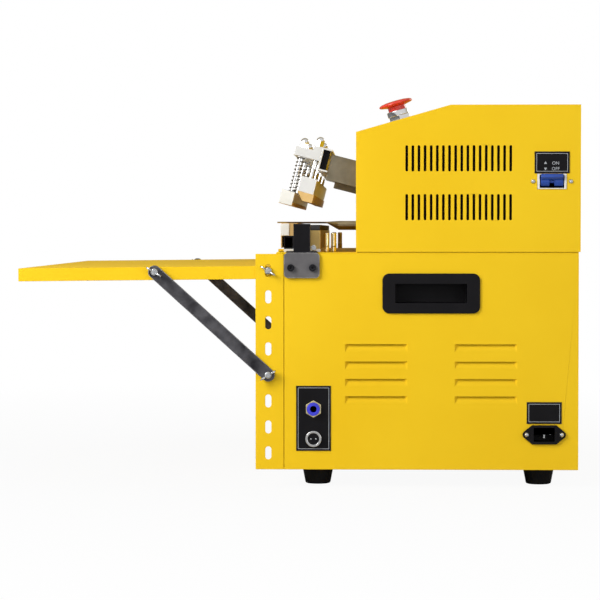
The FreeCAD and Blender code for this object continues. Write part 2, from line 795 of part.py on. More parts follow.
def panel_screws():
    """Screws of the mains inlet and of the breaker."""
    screws = []
    for middle_y, middle_z, pitch, seat in (
        (INLET_Y, INLET_Z, "inlet_screw_pitch", f"{SIDE} + inlet_flange"),
        (BREAKER_Y, BREAKER_Z, "breaker_screw_pitch", SIDE),
    ):
        for way in (-1, 1):
            at = (f"{middle_y} + {way} * {pitch} / 2", middle_z)
            screws.append(fuse(
                rod("x", at, f"{seat} - panel_screw_length", seat, "panel_screw_radius"),
                cone("x", at, seat, f"{seat} + panel_screw_head_height", "panel_screw_head",
                     "panel_screw_radius")))
    node("panel_screws", group(screws))


def breaker():
    """Two pole breaker behind its window, and its toggle tilted up."""
    nose = centred((f"{SIDE} + (breaker_proud - toggle_inset) / 2", BREAKER_Y, BREAKER_Z),
                   ("breaker_proud + toggle_inset", "breaker_width - 2 * window_gap",
                    "breaker_height - 2 * window_gap"))
    block = box((f"{INNER} - breaker_deep", f"{BREAKER_Y} - breaker_width / 2",
                 f"{BREAKER_Z} - breaker_tall / 2"),
                (INNER, f"{BREAKER_Y} + breaker_width / 2", f"{BREAKER_Z} + breaker_tall / 2"))
    mouth = box((f"{SIDE} + breaker_proud - breaker_mouth_depth", f"{BREAKER_Y} - breaker_mouth_width / 2",
                 f"{BREAKER_Z} - breaker_mouth_height / 2"),
                (f"{SIDE} + 2 * breaker_proud", f"{BREAKER_Y} + breaker_mouth_width / 2",
                 f"{BREAKER_Z} + breaker_mouth_height / 2"))
    axle_x = f"{SIDE} - toggle_inset"
    pin_way = rod("y", (axle_x, BREAKER_Z), f"{BREAKER_Y} - breaker_mouth_width / 2 - toggle_hub / 2",
                  f"{BREAKER_Y} + breaker_mouth_width / 2 + toggle_hub / 2", "toggle_hub / 2 + running_fit")
    node("breaker_body", cut(fuse(nose, block), mouth, pin_way))
    half = "(toggle_width / 2)"
    pin_half = "(breaker_mouth_width / 2 + toggle_hub / 4)"
    lever = fuse(box(("0", f"-{half}", "-toggle_thick / 2"), ("toggle_reach", half, "toggle_thick / 2")),
                 rod("y", ("0", "0"), f"-{half}", half, "toggle_hub"),
                 rod("y", ("0", "0"), f"-{pin_half}", pin_half, "toggle_hub / 2"))
    toggle = turn(group([lever]), FreeCAD.Vector(0, -1, 0), "toggle_tilt")
    node("breaker_toggle", place(toggle, axle_x, BREAKER_Y, BREAKER_Z))


def on_slope(item):
    """Set an object that is drawn flat onto the upper cover's sloping face."""
    return place(turn(group([item]), X_AXIS, SLOPE_ANGLE), "0", UPPER_FRONT, f"{DECK} + upper_face")


def upper_cover():
    """Folded hood of the upper cabinet: both sides, the slope and the top."""
    bottom = f"{DECK} + seam_gap"
    outer = profile([(UPPER_FRONT, bottom), (UPPER_FRONT, f"{DECK} + upper_face"),
                     (f"{UPPER_FRONT} + upper_run", UPPER_TOP), (UPPER_REAR, UPPER_TOP),
                     (UPPER_REAR, bottom)], f"-{SIDE}", SIDE)
    skin = f"sheet_wall / cos({SLOPE_ANGLE})"
    meet = f"(upper_height - sheet_wall - upper_face + {skin}) / {SLOPE_TAN}"
    ahead = f"({UPPER_FRONT} - sheet_wall)"
    behind = f"({UPPER_REAR} + sheet_wall)"
    below = f"({DECK} - sheet_wall)"
    inner = profile([(ahead, below), (ahead, f"{DECK} + upper_face - {skin} - sheet_wall * {SLOPE_TAN}"),
                     (f"{UPPER_FRONT} + {meet}", f"{UPPER_TOP} - sheet_wall"),
                     (behind, f"{UPPER_TOP} - sheet_wall"), (behind, below)], f"-{INNER}", INNER)
    vents = []
    for row in range(2):
        for column in range(VENT_COUNT):
            middle = (f"{UPPER_FRONT} + vent_front + {column} * vent_pitch",
                      f"{DECK} + vent_low + {row} * vent_rise")
            vents.append(slot_through(middle, "vent_width", "vent_height"))
    window = centred((SIDE, BREAKER_Y, BREAKER_Z), ("4 * sheet_wall", "breaker_width", "breaker_height"))
    holes = [right_hole((f"{BREAKER_Y} + {way} * breaker_screw_pitch / 2", BREAKER_Z),
                        "panel_screw_radius + running_fit") for way in (-1, 1)]
    estop_hole = on_slope(rod("z", (f"{SIDE} - estop_in", "estop_along"), "-4 * sheet_wall",
                              "sheet_wall", "estop_thread_radius + running_fit"))
    node("upper_cover", cut(outer, inner, group(vents), window, *holes, estop_hole))


def upper_fascia():
    """Front of the upper cabinet, with ways for the jaw arms, the nozzles and the rails."""
    top = f"{DECK} + upper_face - sheet_wall - sheet_wall"
    plate = box((f"-{INNER}", UPPER_FRONT, DECK), (INNER, f"{UPPER_FRONT} + sheet_wall", top))
    low_z = f"{JAW_Z} - arm_sink - arm_height / 2 - 2 * arm_sink"
    high_z = f"{JAW_Z} - arm_sink + arm_height / 2 + jaw_setback * tan(jaw_open) + 2 * arm_sink"
    arm_way = box((f"{ARM_OUT} - arm_thick - bearing_gap", f"{UPPER_FRONT} - sheet_wall", low_z),
                  (f"{ARM_OUT} + bearing_gap", f"{UPPER_FRONT} + 2 * sheet_wall", high_z))
    nozzle_way = box(("nozzle_x - blade_width / 2 - nozzle_mouth_gap", f"{UPPER_FRONT} - sheet_wall",
                      f"{NOZZLE_Z} - nozzle_radius - nozzle_mouth_gap"),
                     ("nozzle_x + blade_width / 2 + nozzle_mouth_gap", f"{UPPER_FRONT} + 2 * sheet_wall",
                      f"{NOZZLE_Z} + nozzle_radius + nozzle_mouth_gap"))
    node("upper_fascia", cut(plate, pair(arm_way), pair(nozzle_way)))


def upper_rear_panel():
    """Rear sheet of the upper cabinet, between its sides."""
    node("upper_rear_panel", box((f"-{INNER}", f"{UPPER_REAR} - upper_overhang - sheet_wall", DECK),
                                 (INNER, f"{UPPER_REAR} - upper_overhang", f"{UPPER_TOP} - sheet_wall")))


def control_panel():
    """Thin keypad panel on the slope."""
    middle = ("0", "panel_along + panel_length / 2", "panel_thick / 2")
    node("control_panel", on_slope(centred(middle, ("panel_width", "panel_length", "panel_thick"))))


def emergency_stop():
    """Mushroom head that presses into a collar, with the contact block below."""
    at = (f"{SIDE} - estop_in", "estop_along")
    neck_bottom = "(estop_neck_floor + estop_travel + play_gap)"
    collar = fuse(hexagon("z", at, "0", "estop_collar_height", "estop_collar_radius"),
                  rod("z", at, "-estop_thread_length", "estop_collar_height", "estop_thread_radius"))
    recess = rod("z", at, "estop_neck_floor", "estop_collar_height + sheet_wall",
                 "estop_neck_radius + play_gap")
    stem_way = rod("z", at, "-estop_thread_length - sheet_wall", "estop_collar_height",
                   "estop_stem_radius + running_fit")
    node("estop_collar", on_slope(cut(collar, recess, stem_way)))
    block_top = "-estop_thread_length"
    block = centred((*at, f"{block_top} - estop_block_height / 2"),
                    ("estop_block_width", "estop_block_width", "estop_block_height"))
    plunger_way = rod("z", at, f"{block_top} - 2 * estop_travel", "0", "estop_stem_radius + running_fit")
    node("estop_contact_block", on_slope(cut(block, plunger_way)))
    body = doc.addObject("PartDesign::Body", "Mushroom")
    cap = body.newObject("PartDesign::AdditiveCylinder", "Cap")
    bind(cap, "Radius", "estop_head_radius")
    bind(cap, "Height", "estop_head_height")
    doc.recompute()
    rim = [f"Edge{number}" for number, edge in enumerate(cap.Shape.Edges, start=1)
           if len(edge.Vertexes) == 1 and edge.CenterOfMass.z > cap.Shape.CenterOfMass.z]
    fillet = body.newObject("PartDesign::Fillet", "Crown")
    fillet.Base = (cap, rim)
    bind(fillet, "Radius", "estop_head_round")
    place(body, *at, "estop_stand")
    neck = rod("z", at, neck_bottom, "estop_stand", "estop_neck_radius")
    stem = rod("z", at, "-estop_thread_length + play_gap", neck_bottom, "estop_stem_radius")
    node("estop_head", on_slope(fuse(body, neck, stem)))


def on_jaw(item):
    """Swing an object that is drawn on the closed jaw open about the jaw shaft."""
    return place(turn(group([item]), BACKWARD_X, "jaw_open"), "0", JAW_Y, JAW_Z)


def rod_places():
    """Places of the clamp's guide rods across the machine."""
    return [f"{way} * {place_x}" for place_x in (ROD_OUTER, "rod_inner_x") for way in (-1, 1)]


def jaw_pivot():
    """Shaft of the jaw and the two pedestals that carry it."""
    node("jaw_shaft", on_jaw(rod("x", ("0", "0"), f"-{ARM_OUT}", ARM_OUT, "shaft_radius")))
    inner_x = f"({ARM_OUT} - arm_thick - bearing_gap - bearing_thick)"
    pedestal = box((inner_x, f"{JAW_Y} - bearing_depth / 2", DECK),
                   (f"{inner_x} + bearing_thick", f"{JAW_Y} + bearing_depth / 2",
                    f"{JAW_Z} + bearing_crown"))
    bore = rod("x", (JAW_Y, JAW_Z), f"{inner_x} - sheet_wall", f"{inner_x} + bearing_thick + sheet_wall",
               "shaft_radius + running_fit")
    node("shaft_bearings", pair(cut(pedestal, bore)))


def jaw_frame():
    """Arms, tie bar, crossbar channel and the carrier bar in front of it."""
    low = "-arm_sink - arm_height / 2"
    high = "-arm_sink + arm_height / 2"
    plate = box((f"{ARM_OUT} - arm_thick", "-channel_back", low),
                (ARM_OUT, "arm_tail + 2 * tie_radius", high))
    bore = rod("x", ("0", "0"), f"{ARM_OUT} - 2 * arm_thick", f"{ARM_OUT} + arm_thick",
               "shaft_radius + running_fit")
    node("jaw_arms", on_jaw(pair(cut(plate, bore))))
    inside = f"({ARM_OUT} - arm_thick)"
    node("jaw_tie_bar", on_jaw(rod("x", ("arm_tail", "0"), f"-{inside}", inside, "tie_radius")))
    bottom = "(channel_top - channel_height)"
    solid = box((f"-{JAW_END}", f"-{CARRIER_BACK}", bottom), (JAW_END, "-channel_back", "channel_top"))
    hollow = box((f"-{JAW_END} - channel_wall", f"-{CARRIER_BACK} + channel_wall",
                  f"{bottom} + channel_wall"),
                 (f"{JAW_END} + channel_wall", "-channel_back + channel_wall",
                  "channel_top - channel_wall"))
    node("jaw_crossbar", on_jaw(cut(solid, hollow)))
    plate = box((f"-{JAW_END}", f"-{CARRIER_BACK} - carrier_depth", "-carrier_base"),
                (JAW_END, f"-{CARRIER_BACK}", CARRIER_TOP))
    rib = box((f"-{JAW_END}", f"-{CARRIER_BACK} - rib_depth", "-carrier_base"),
              (JAW_END, f"-{CARRIER_BACK}", "channel_top"))
    holes = []
    for place_x in rod_places():
        for reach in ("rod_reach", "seal_bolt_reach"):
            holes.append(rod("z", (place_x, f"-{reach}"), "-2 * carrier_base", "channel_top + carrier_base",
                             "rod_radius + running_fit"))
    node("jaw_carrier", on_jaw(cut(fuse(plate, rib), group(holes))))


def acorn(at, seat):
    """Acorn nut standing on a seat height: a hexagon under a dome."""
    dome = doc.addObject("Part::Sphere", "Dome")
    bind(dome, "Radius", "nut_radius - 2 * play_gap")
    dome.Angle1 = 0
    place(dome, *at, f"{seat} + nut_height")
    return fuse(hexagon("z", at, seat, f"{seat} + nut_height", "nut_radius"), dome)


def guide_rods():
    """Rods that the clamp bar slides on, each with its acorn nut over the carrier."""
    seat = f"({CARRIER_TOP} + play_gap)"
    solids = []
    for place_x in rod_places():
        at = (place_x, "-rod_reach")
        solids.append(rod("z", at, f"-{CLAMP_TOP}", seat, "rod_radius"))
        solids.append(acorn(at, seat))
    node("guide_rods", on_jaw(group(solids)))


def jaw_fasteners():
    """Bolts that hang the seal bar from the carrier, their nuts, and the washers over the springs."""
    solids = []
    for place_x in rod_places():
        at = (place_x, "-seal_bolt_reach")
        solids.append(rod("z", at, "-seal_top", "channel_top", "rod_radius"))
        solids.append(acorn(at, "channel_top"))
        at = (place_x, "-rod_reach")
        ring = rod("z", at, "-carrier_base - washer_thick", "-carrier_base", "washer_radius")
        way = rod("z", at, "-carrier_base - 2 * washer_thick", "0", "rod_radius + play_gap")
        solids.append(cut(ring, way))
    node("jaw_fasteners", on_jaw(group(solids)))


def arc_between(start, corner, end):
    """Arc that is tangent to start-corner and to corner-end."""
    middle = (start + end) * 0.5
    half_chord = (end - start).Length / 2
    height = (corner - middle).Length
    radius = (corner - start).Length * half_chord / height
    sagitta = radius - math.sqrt(radius ** 2 - half_chord ** 2)
    peak = middle + (corner - middle) * (sagitta / height)
    return Part.Arc(start, peak, end).toShape()


def biarc(start, start_way, end, end_way):
    """Two arcs that leave start and reach end along given unit directions."""
    chord = end - start
    ways = start_way + end_way
    spread = 2 * (1 - start_way.dot(end_way))
    along = chord.dot(ways)
    reach = (math.sqrt(along ** 2 + spread * chord.dot(chord)) - along) / spread
    first = start + start_way * reach
    second = end - end_way * reach
    joint = (first + second) * 0.5
    return [arc_between(start, first, joint), arc_between(joint, second, end)]


def coil(radius, wire, height):
    """Compression spring on the Z axis, as one tube with straight ends square to both seats."""
    lead = LEAD_WIRES * wire
    rise = height - 2 * (wire + lead)
    quarter = math.tau / STEPS_PER_TURN
    climb = rise / (SPRING_TURNS * STEPS_PER_TURN)
    up = FreeCAD.Vector(0, 0, 1)
    points = []
    ways = []
    for step in range(SPRING_TURNS * STEPS_PER_TURN + 1):
        angle = step * quarter
        points.append(FreeCAD.Vector(radius * math.cos(angle), radius * math.sin(angle),
                                     wire + lead + step * climb))
        way = FreeCAD.Vector(-radius * math.sin(angle), radius * math.cos(angle), climb / quarter)
        ways.append(way.normalize())
    foot = points[0] - ways[0] * lead
    foot = FreeCAD.Vector(foot.x, foot.y, wire)
    head = points[-1] + ways[-1] * lead
    head = FreeCAD.Vector(head.x, head.y, height - wire)
    edges = [Part.LineSegment(foot - up * wire, foot).toShape()]
    stops = [foot] + points + [head]
    leads = [up] + ways + [up]
    for index in range(len(stops) - 1):
        edges += biarc(stops[index], leads[index], stops[index + 1], leads[index + 1])
    edges.append(Part.LineSegment(head, head + up * wire).toShape())
    spine = Part.Wire(edges)
    ring = Part.Wire(Part.Circle(foot - up * wire, up, wire / 2).toShape())
    return spine.makePipeShell([ring], True, False), spine


def least_gap(spine, wire):
    """Least clear distance of a coiled wire to its own turns, measured on points along it."""
    points = spine.discretize(Distance=wire / 2)
    apart = int(STEPS_PER_TURN * SPRING_TURNS / 3)
    gaps = [(points[far] - points[near]).Length - wire
            for near in range(len(points)) for far in range(near + apart, len(points))]
    return min(gaps)


def clamp_springs():
    """Springs on the guide rods between the washers and the clamp bar."""
    wire = float(sheet.get("spring_wire"))
    radius = float(sheet.get("spring_radius"))
    top = -float(sheet.get("carrier_base")) - float(sheet.get("washer_thick"))
    bottom = float(sheet.get("clamp_height")) - float(sheet.get("clamp_drop")) + float(sheet.get("play_gap"))
    shape, spine = coil(radius, wire, top - bottom)
    print("clamp spring least gap", round(least_gap(spine, wire), 3))
    springs = []
    for place_x in rod_places():
        item = doc.addObject("Part::Feature", "Spring")
        item.Shape = shape
        springs.append(place(item, place_x, "-rod_reach", f"-{CLAMP_TOP} + play_gap"))
    node("clamp_springs", on_jaw(group(springs)))


def clamp():
    """Clamp bar that meets the lower clamp bar first, and the soft pad under it."""
    pad_top = "(clamp_drop - clamp_pad_thick)"
    front = "-clamp_front"
    node("clamp_bar", on_jaw(box((f"-{JAW_END}", front, f"-{pad_top}"),
                                 (JAW_END, f"{front} + clamp_depth", f"-{CLAMP_TOP}"))))
    node("clamp_pad", on_jaw(box((f"-{JAW_END}", front, "-clamp_drop"),
                                 (JAW_END, f"{front} + clamp_depth", f"-{pad_top}"))))


def sealer():
    """Seal bar, the heating band along its nose and the release cloth round both."""
    half = "(nose_width / 2)"
    block = box((f"-{JAW_END}", "-seal_front", "-seal_top - seal_height"),
                (JAW_END, "-seal_front + seal_depth", "-seal_top"))
    nose = box((f"-{JAW_END}", f"-seal_reach - {half}", f"-{NOSE_BOTTOM}"),
               (JAW_END, f"-seal_reach + {half}", "-seal_top - seal_height"))
    node("seal_bar", on_jaw(fuse(block, nose)))
    node("heating_band", on_jaw(box((f"-{JAW_END}", "-seal_reach - band_width / 2",
                                     f"-{NOSE_BOTTOM} - band_thick"),
                                    (JAW_END, "-seal_reach + band_width / 2", f"-{NOSE_BOTTOM}"))))
    wrap = box((f"-{JAW_END}", f"-seal_reach - {half} - cloth_thick", f"-{COVER_BOTTOM}"),
               (JAW_END, f"-seal_reach + {half} + cloth_thick", "-seal_top - seal_height"))
    room = box((f"-{JAW_END} - cloth_thick", f"-seal_reach - {half}", f"-{NOSE_BOTTOM} - band_thick"),
               (f"{JAW_END} + cloth_thick", f"-seal_reach + {half}", "-seal_top"))
    node("release_cloth", on_jaw(cut(wrap, room)))


def jaw_cylinders():
    """Two upright cylinders under the deck and the rods that lift the tie bar."""
    bodies = []
    rods = []
    bottom = f"({UNDER_DECK} - cylinder_length)"
    slot_half_y = "(tie_radius + arm_tail * (1 - cos(jaw_open)) / 2 + eye_play)"
    slot_half_z = "(tie_radius + eye_play)"
    for way in (-1, 1):
        at = (f"{way} * cylinder_x", PISTON_Y)
        barrel = rod("z", at, bottom, UNDER_DECK, "cylinder_radius")
        bore = rod("z", at, f"{bottom} + piston_rest - play_gap", DECK, "piston_radius + running_fit")
        bodies.append(cut(barrel, bore))
        eye = centred((*at, EYE_Z), ("eye_width", f"2 * ({slot_half_y} + eye_wall)",
                                     f"2 * ({slot_half_z} + eye_wall)"))
        slot = centred((*at, EYE_Z), ("2 * eye_width", f"2 * {slot_half_y}", f"2 * {slot_half_z}"))
        stem = rod("z", at, f"{bottom} + piston_rest", f"{EYE_Z} - {slot_half_z} - eye_wall / 2",
                   "piston_radius")
        rods.append(fuse(cut(eye, slot), stem))
    node("jaw_cylinders", group(bodies))
    node("jaw_cylinder_rods", group(rods))


def lower_jaw():
    """Base bar, hollow front rail, seal rail, clamp bar and the seal strip of the lower jaw."""
    front = f"({JAW_Y} - lower_clamp_reach)"
    rail_back = f"({JAW_Y} - seal_reach + seal_rail_width / 2)"
    base_top = f"({DECK} + lower_base_thick)"
    rail_front = f"({front} + rail_lead)"
    node("lower_jaw_base", box((f"-{JAW_END}", rail_front, DECK), (JAW_END, rail_back, base_top)))
    tube = box((f"-{JAW_END}", rail_front, base_top), (JAW_END, f"{rail_front} + rail_width", RAIL_TOP))
    hollow = box((f"-{JAW_END} - rail_wall", f"{rail_front} + rail_wall", f"{base_top} + rail_wall"),
                 (f"{JAW_END} + rail_wall", f"{rail_front} + rail_width - rail_wall",
                  f"{RAIL_TOP} - rail_wall"))
    node("lower_front_rail", cut(tube, hollow))
    bar = box((f"-{JAW_END}", front, RAIL_TOP), (JAW_END, f"{front} + lower_clamp_depth", LOWER_CLAMP_TOP))
    lip = box((f"-{JAW_END}", front, f"{RAIL_TOP} - lower_lip_drop"),
              (JAW_END, f"{front} + lower_lip", RAIL_TOP))
    node("lower_clamp_bar", fuse(bar, lip))
    node("lower_seal_rail", box((f"-{JAW_END}", f"{rail_back} - seal_rail_width", base_top),
                                (JAW_END, rail_back, f"{STRIP_TOP} - strip_height")))
    strip_mid = f"({JAW_Y} - seal_reach)"
    node("lower_seal_strip", box((f"-{JAW_END}", f"{strip_mid} - strip_width / 2",
                                  f"{STRIP_TOP} - strip_height"),
                                 (JAW_END, f"{strip_mid} + strip_width / 2", STRIP_TOP)))


def stop_brackets():
    """Grey plates on both sides of the base, with the stop blocks that stand on them and their screws."""
    plate = rounded((f"{SIDE} + bracket_thick / 2", BRACKET_Y, f"{DECK} - bracket_height / 2"),
                    ("bracket_thick", "bracket_width", "bracket_height"), "bracket_corner", "x")
    outer = f"({SIDE} + bracket_thick)"
    holes = [rod("x", at, f"{SIDE} - sheet_wall", f"{outer} + sheet_wall",
                 "bracket_screw_radius + running_fit") for at in screw_places()]
    node("stop_brackets", pair(cut(plate, *holes)))
    inner = f"({SIDE} - stop_inset)"
    foot = box((inner, f"{BRACKET_Y} - stop_foot_width / 2", DECK),
               (outer, f"{BRACKET_Y} + stop_foot_width / 2", f"{DECK} + stop_foot_thick"))
    post = box((inner, f"{BRACKET_Y} - stop_width / 2", DECK),
               (outer, f"{BRACKET_Y} + stop_width / 2", f"{DECK} + stop_height"))
    node("stop_blocks", pair(fuse(foot, post)))
    screws = []
    for at in screw_places():
        shank = rod("x", at, f"{outer} - bracket_screw_length", outer, "bracket_screw_radius")
        head = rod("x", at, outer, f"{outer} + bracket_screw_head_height", "bracket_screw_head")
        key = hexagon("x", at, f"{outer} + bracket_screw_head_height / 2",
                      f"{outer} + 2 * bracket_screw_head_height", "bracket_screw_head / 2")
        screws.append(cut(fuse(shank, head), key))
    node("bracket_screws", pair(group(screws)))


def heater_terminals():
    """Brass posts at both ends of the heating band's leads, standing on the deck."""
    posts = []
    for step in (-1, 1):
        at = (f"{JAW_END} - terminal_in", f"{JAW_Y} - terminal_reach + {step} * terminal_pitch / 2")
        posts.append(fuse(hexagon("z", at, DECK, f"{DECK} + terminal_base", "terminal_radius"),
                          rod("z", at, DECK, f"{DECK} + terminal_height", "terminal_stud_radius")))
    node("heater_terminals", pair(group(posts)))


def section(kind, radii, x, y, z):
    """Closed curve across the machine's depth, for the nozzle's skin."""
    item = doc.addObject(f"Part::{kind}", "Section")
    item.Placement = FreeCAD.Placement(FreeCAD.Vector(), FreeCAD.Rotation(X_AXIS, 90))
    for prop, formula in radii.items():
        bind(item, prop, formula)
    return place(item, x, y, z)


def vacuum_nozzles():
    """Two tubes flattened to blades that lie over the lower jaw."""
    tip = f"({JAW_Y} - blade_reach)"
    throat = f"({tip} + blade_length)"
    flat = {"MajorRadius": "blade_width / 2", "MinorRadius": "blade_thick / 2"}
    tubes = []
    for way in (-1, 1):
        place_x = f"{way} * nozzle_x"
        skin = doc.addObject("Part::Loft", "Nozzle")
        skin.Sections = [
            section("Ellipse", flat, place_x, tip, BLADE_Z),
            section("Ellipse", flat, place_x, throat, BLADE_Z),
            section("Circle", {"Radius": "nozzle_radius"}, place_x, f"{throat} + nozzle_cone", NOZZLE_Z),
            section("Circle", {"Radius": "nozzle_radius"}, place_x, f"{CARRIAGE_Y} + carriage_thick",
                    NOZZLE_Z),
        ]
        skin.Solid = True
        skin.Ruled = True
        tubes.append(skin)
    node("vacuum_nozzles", group(tubes))


def nozzle_carriage():
    """Block that carries both nozzles along the rails, with the rod that draws it back."""
    half_x = "(rail_x + rail_radius + carriage_wall)"
    half_z = "(nozzle_radius + carriage_wall)"
    back = f"({CARRIAGE_Y} + carriage_thick)"
    block = box((f"-{half_x}", CARRIAGE_Y, f"{NOZZLE_Z} - {half_z}"),
                (half_x, back, f"{NOZZLE_Z} + {half_z}"))
    holes = []
    for way in (-1, 1):
        for place_x, radius in (("nozzle_x", "nozzle_radius"), ("rail_x", "rail_radius")):
            holes.append(rod("y", (f"{way} * {place_x}", NOZZLE_Z), f"{CARRIAGE_Y} - sheet_wall",
                             f"{back} + sheet_wall", f"{radius} + running_fit"))
    piston = rod("y", ("0", NOZZLE_Z), back, f"{RAIL_END} + rail_bracket_thick + piston_rest",
                 "nozzle_piston_radius")
    node("nozzle_carriage", group([cut(block, group(holes)), piston]))


def nozzle_rails():
    """Two round rails between the fascia and a bracket on the deck."""
    half_x = "(rail_x + rail_radius + carriage_wall)"
    plate = box((f"-{half_x}", RAIL_END, DECK),
                (half_x, f"{RAIL_END} + rail_bracket_thick", f"{NOZZLE_Z} + nozzle_cylinder_radius"))
    way_out = rod("y", ("0", NOZZLE_Z), f"{RAIL_END} - sheet_wall",
                  f"{RAIL_END} + 2 * rail_bracket_thick", "nozzle_piston_radius + play_gap")
    rails = [rod("y", (f"{way} * rail_x", NOZZLE_Z), f"{UPPER_FRONT} + sheet_wall", RAIL_END, "rail_radius")
             for way in (-1, 1)]
    node("nozzle_rails", group(rails + [cut(plate, way_out)]))


def nozzle_cylinder():
    """Cylinder behind the rail bracket that draws the carriage back."""
    front = f"({RAIL_END} + rail_bracket_thick)"
    length = "(nozzle_travel + piston_rest + 4 * play_gap)"
    barrel = rod("y", ("0", NOZZLE_Z), front, f"{front} + {length} + 2 * sheet_wall",
                 "nozzle_cylinder_radius")
    bore = rod("y", ("0", NOZZLE_Z), f"{front} - sheet_wall", f"{front} + {length}",
               "nozzle_piston_radius + running_fit")
    node("nozzle_cylinder", cut(barrel, bore))


def on_table(item):
    """Set an object that is drawn level about the table's pivot at the table's slight tilt."""
    return place(turn(group([item]), X_AXIS, "table_tilt"), "0", PIVOT_Y, PIVOT_Z)


def table_top():
    """Folded bag table with an apron on all sides."""
    front = "(-table_reach)"
    top = "table_pivot_drop"
    tray = box((f"-{APRON}", front, f"{top} - table_apron"), (APRON, "table_tail", top))
    hollow = box((f"-{APRON} + table_sheet", f"{front} + table_sheet", f"{top} - 2 * table_apron"),
                 (f"{APRON} - table_sheet", "table_tail - table_sheet", f"{top} - table_sheet"))
    holes = [rod("x", (place_y, "0"), f"-{SIDE}", SIDE, "wing_screw_radius + running_fit")
             for place_y in ("0", "-brace_span")]
    node("table_top", on_table(cut(tray, hollow, *holes)))


def wing_nut(at, seat, axis, angle):
    """Wing nut on the right side, its hub standing on a seat and its wings swept outward."""
    hub = cone("x", at, seat, f"{seat} + wing_hub_height", "wing_hub_radius",
               "wing_screw_radius + wing_thick / 2")
    wings = []
    for way in (-1, 1):
        disc = doc.addObject("Part::Cylinder", "Wing")
        bind(disc, "Radius", "wing_radius")
        bind(disc, "Height", "wing_thick")
        place(disc, "wing_lift", f"{way} * wing_spread", "-wing_thick / 2")
        web = box(("wing_thick / 2", f"{way} * wing_spread / 2 - wing_spread / 2", "-wing_thick / 2"),
                  ("wing_lift", f"{way} * wing_spread / 2 + wing_spread / 2", "wing_thick / 2"))
        wings += [disc, web]
    spread = turn(fuse(*wings), axis, angle)
    place(spread, seat, *at)
    bore = rod("x", at, f"{seat} - sheet_wall", f"{seat} + 4 * wing_hub_height",
               "wing_screw_radius + running_fit")
    return cut(fuse(hub, spread), bore)


def wing_shank(at, start, seat):
    """Plain shank from start to just past the wing nut that stands on a seat."""
    return rod("x", at, start, f"{seat} + wing_hub_height + wing_tip", "wing_screw_radius")


def wing_screw(at, head_seat, seat):
    """Screw with a low head under the table's top sheet, and a shank that ends in a wing nut."""
    head = f"({head_seat} - wing_screw_head_height)"
    return fuse(wing_shank(at, head, seat),
                rod("x", at, head, head_seat, "table_pivot_drop - table_sheet - play_gap"))


def table_fasteners():
    """Wing screws of the table's pivots, of the braces' upper ends and of their feet."""
    apron_inner = f"({APRON} - table_sheet)"
    at = (PIVOT_Y, PIVOT_Z)
    pivot = group([wing_screw(at, f"({apron_inner} - play_gap)", SIDE),
                   wing_nut(at, SIDE, BACKWARD_X, "wing_angle")])
    node("pivot_wing_screws", pair(pivot))
    at = ("-brace_span", "0")
    seat = f"({BRACE_OUTER} + play_gap)"
    bolt = fuse(wing_screw(at, apron_inner, seat),
                rod("x", at, APRON, f"{BRACE_FACE} - play_gap", "wing_shoulder"))
    node("brace_top_wing_screws", on_table(pair(group([bolt, wing_nut(at, seat, BACKWARD_X, "wing_angle")]))))
    at = (BRACE_LENGTH, "0")
    foot = group([wing_shank(at, BRACE_FACE, BRACE_OUTER),
                  wing_nut(at, BRACE_OUTER, X_AXIS, f"wing_angle * 1 deg + {BRACE_ANGLE}")])
    node("brace_foot_wing_screws", on_brace(pair(foot)))


def on_brace(item):
    """Set an object that is drawn along +Y from a brace's upper hole onto the sloping brace."""
    return place(turn(group([item]), BACKWARD_X, BRACE_ANGLE), "0", BRACE_TOP_Y, BRACE_TOP_Z)


def braces():
    """Flat bars with round ends from the table down to the slotted flanges."""
    half = "(brace_width / 2)"
    pieces = [box((BRACE_FACE, "0", f"-{half}"), (BRACE_OUTER, BRACE_LENGTH, half))]
    holes = []
    for place_y in ("0", BRACE_LENGTH):
        pieces.append(rod("x", (place_y, "0"), BRACE_FACE, BRACE_OUTER, half))
        holes.append(rod("x", (place_y, "0"), SIDE, f"{BRACE_OUTER} + sheet_wall",
                         "wing_screw_radius + running_fit"))
    node("braces", on_brace(pair(cut(fuse(*pieces), *holes))))


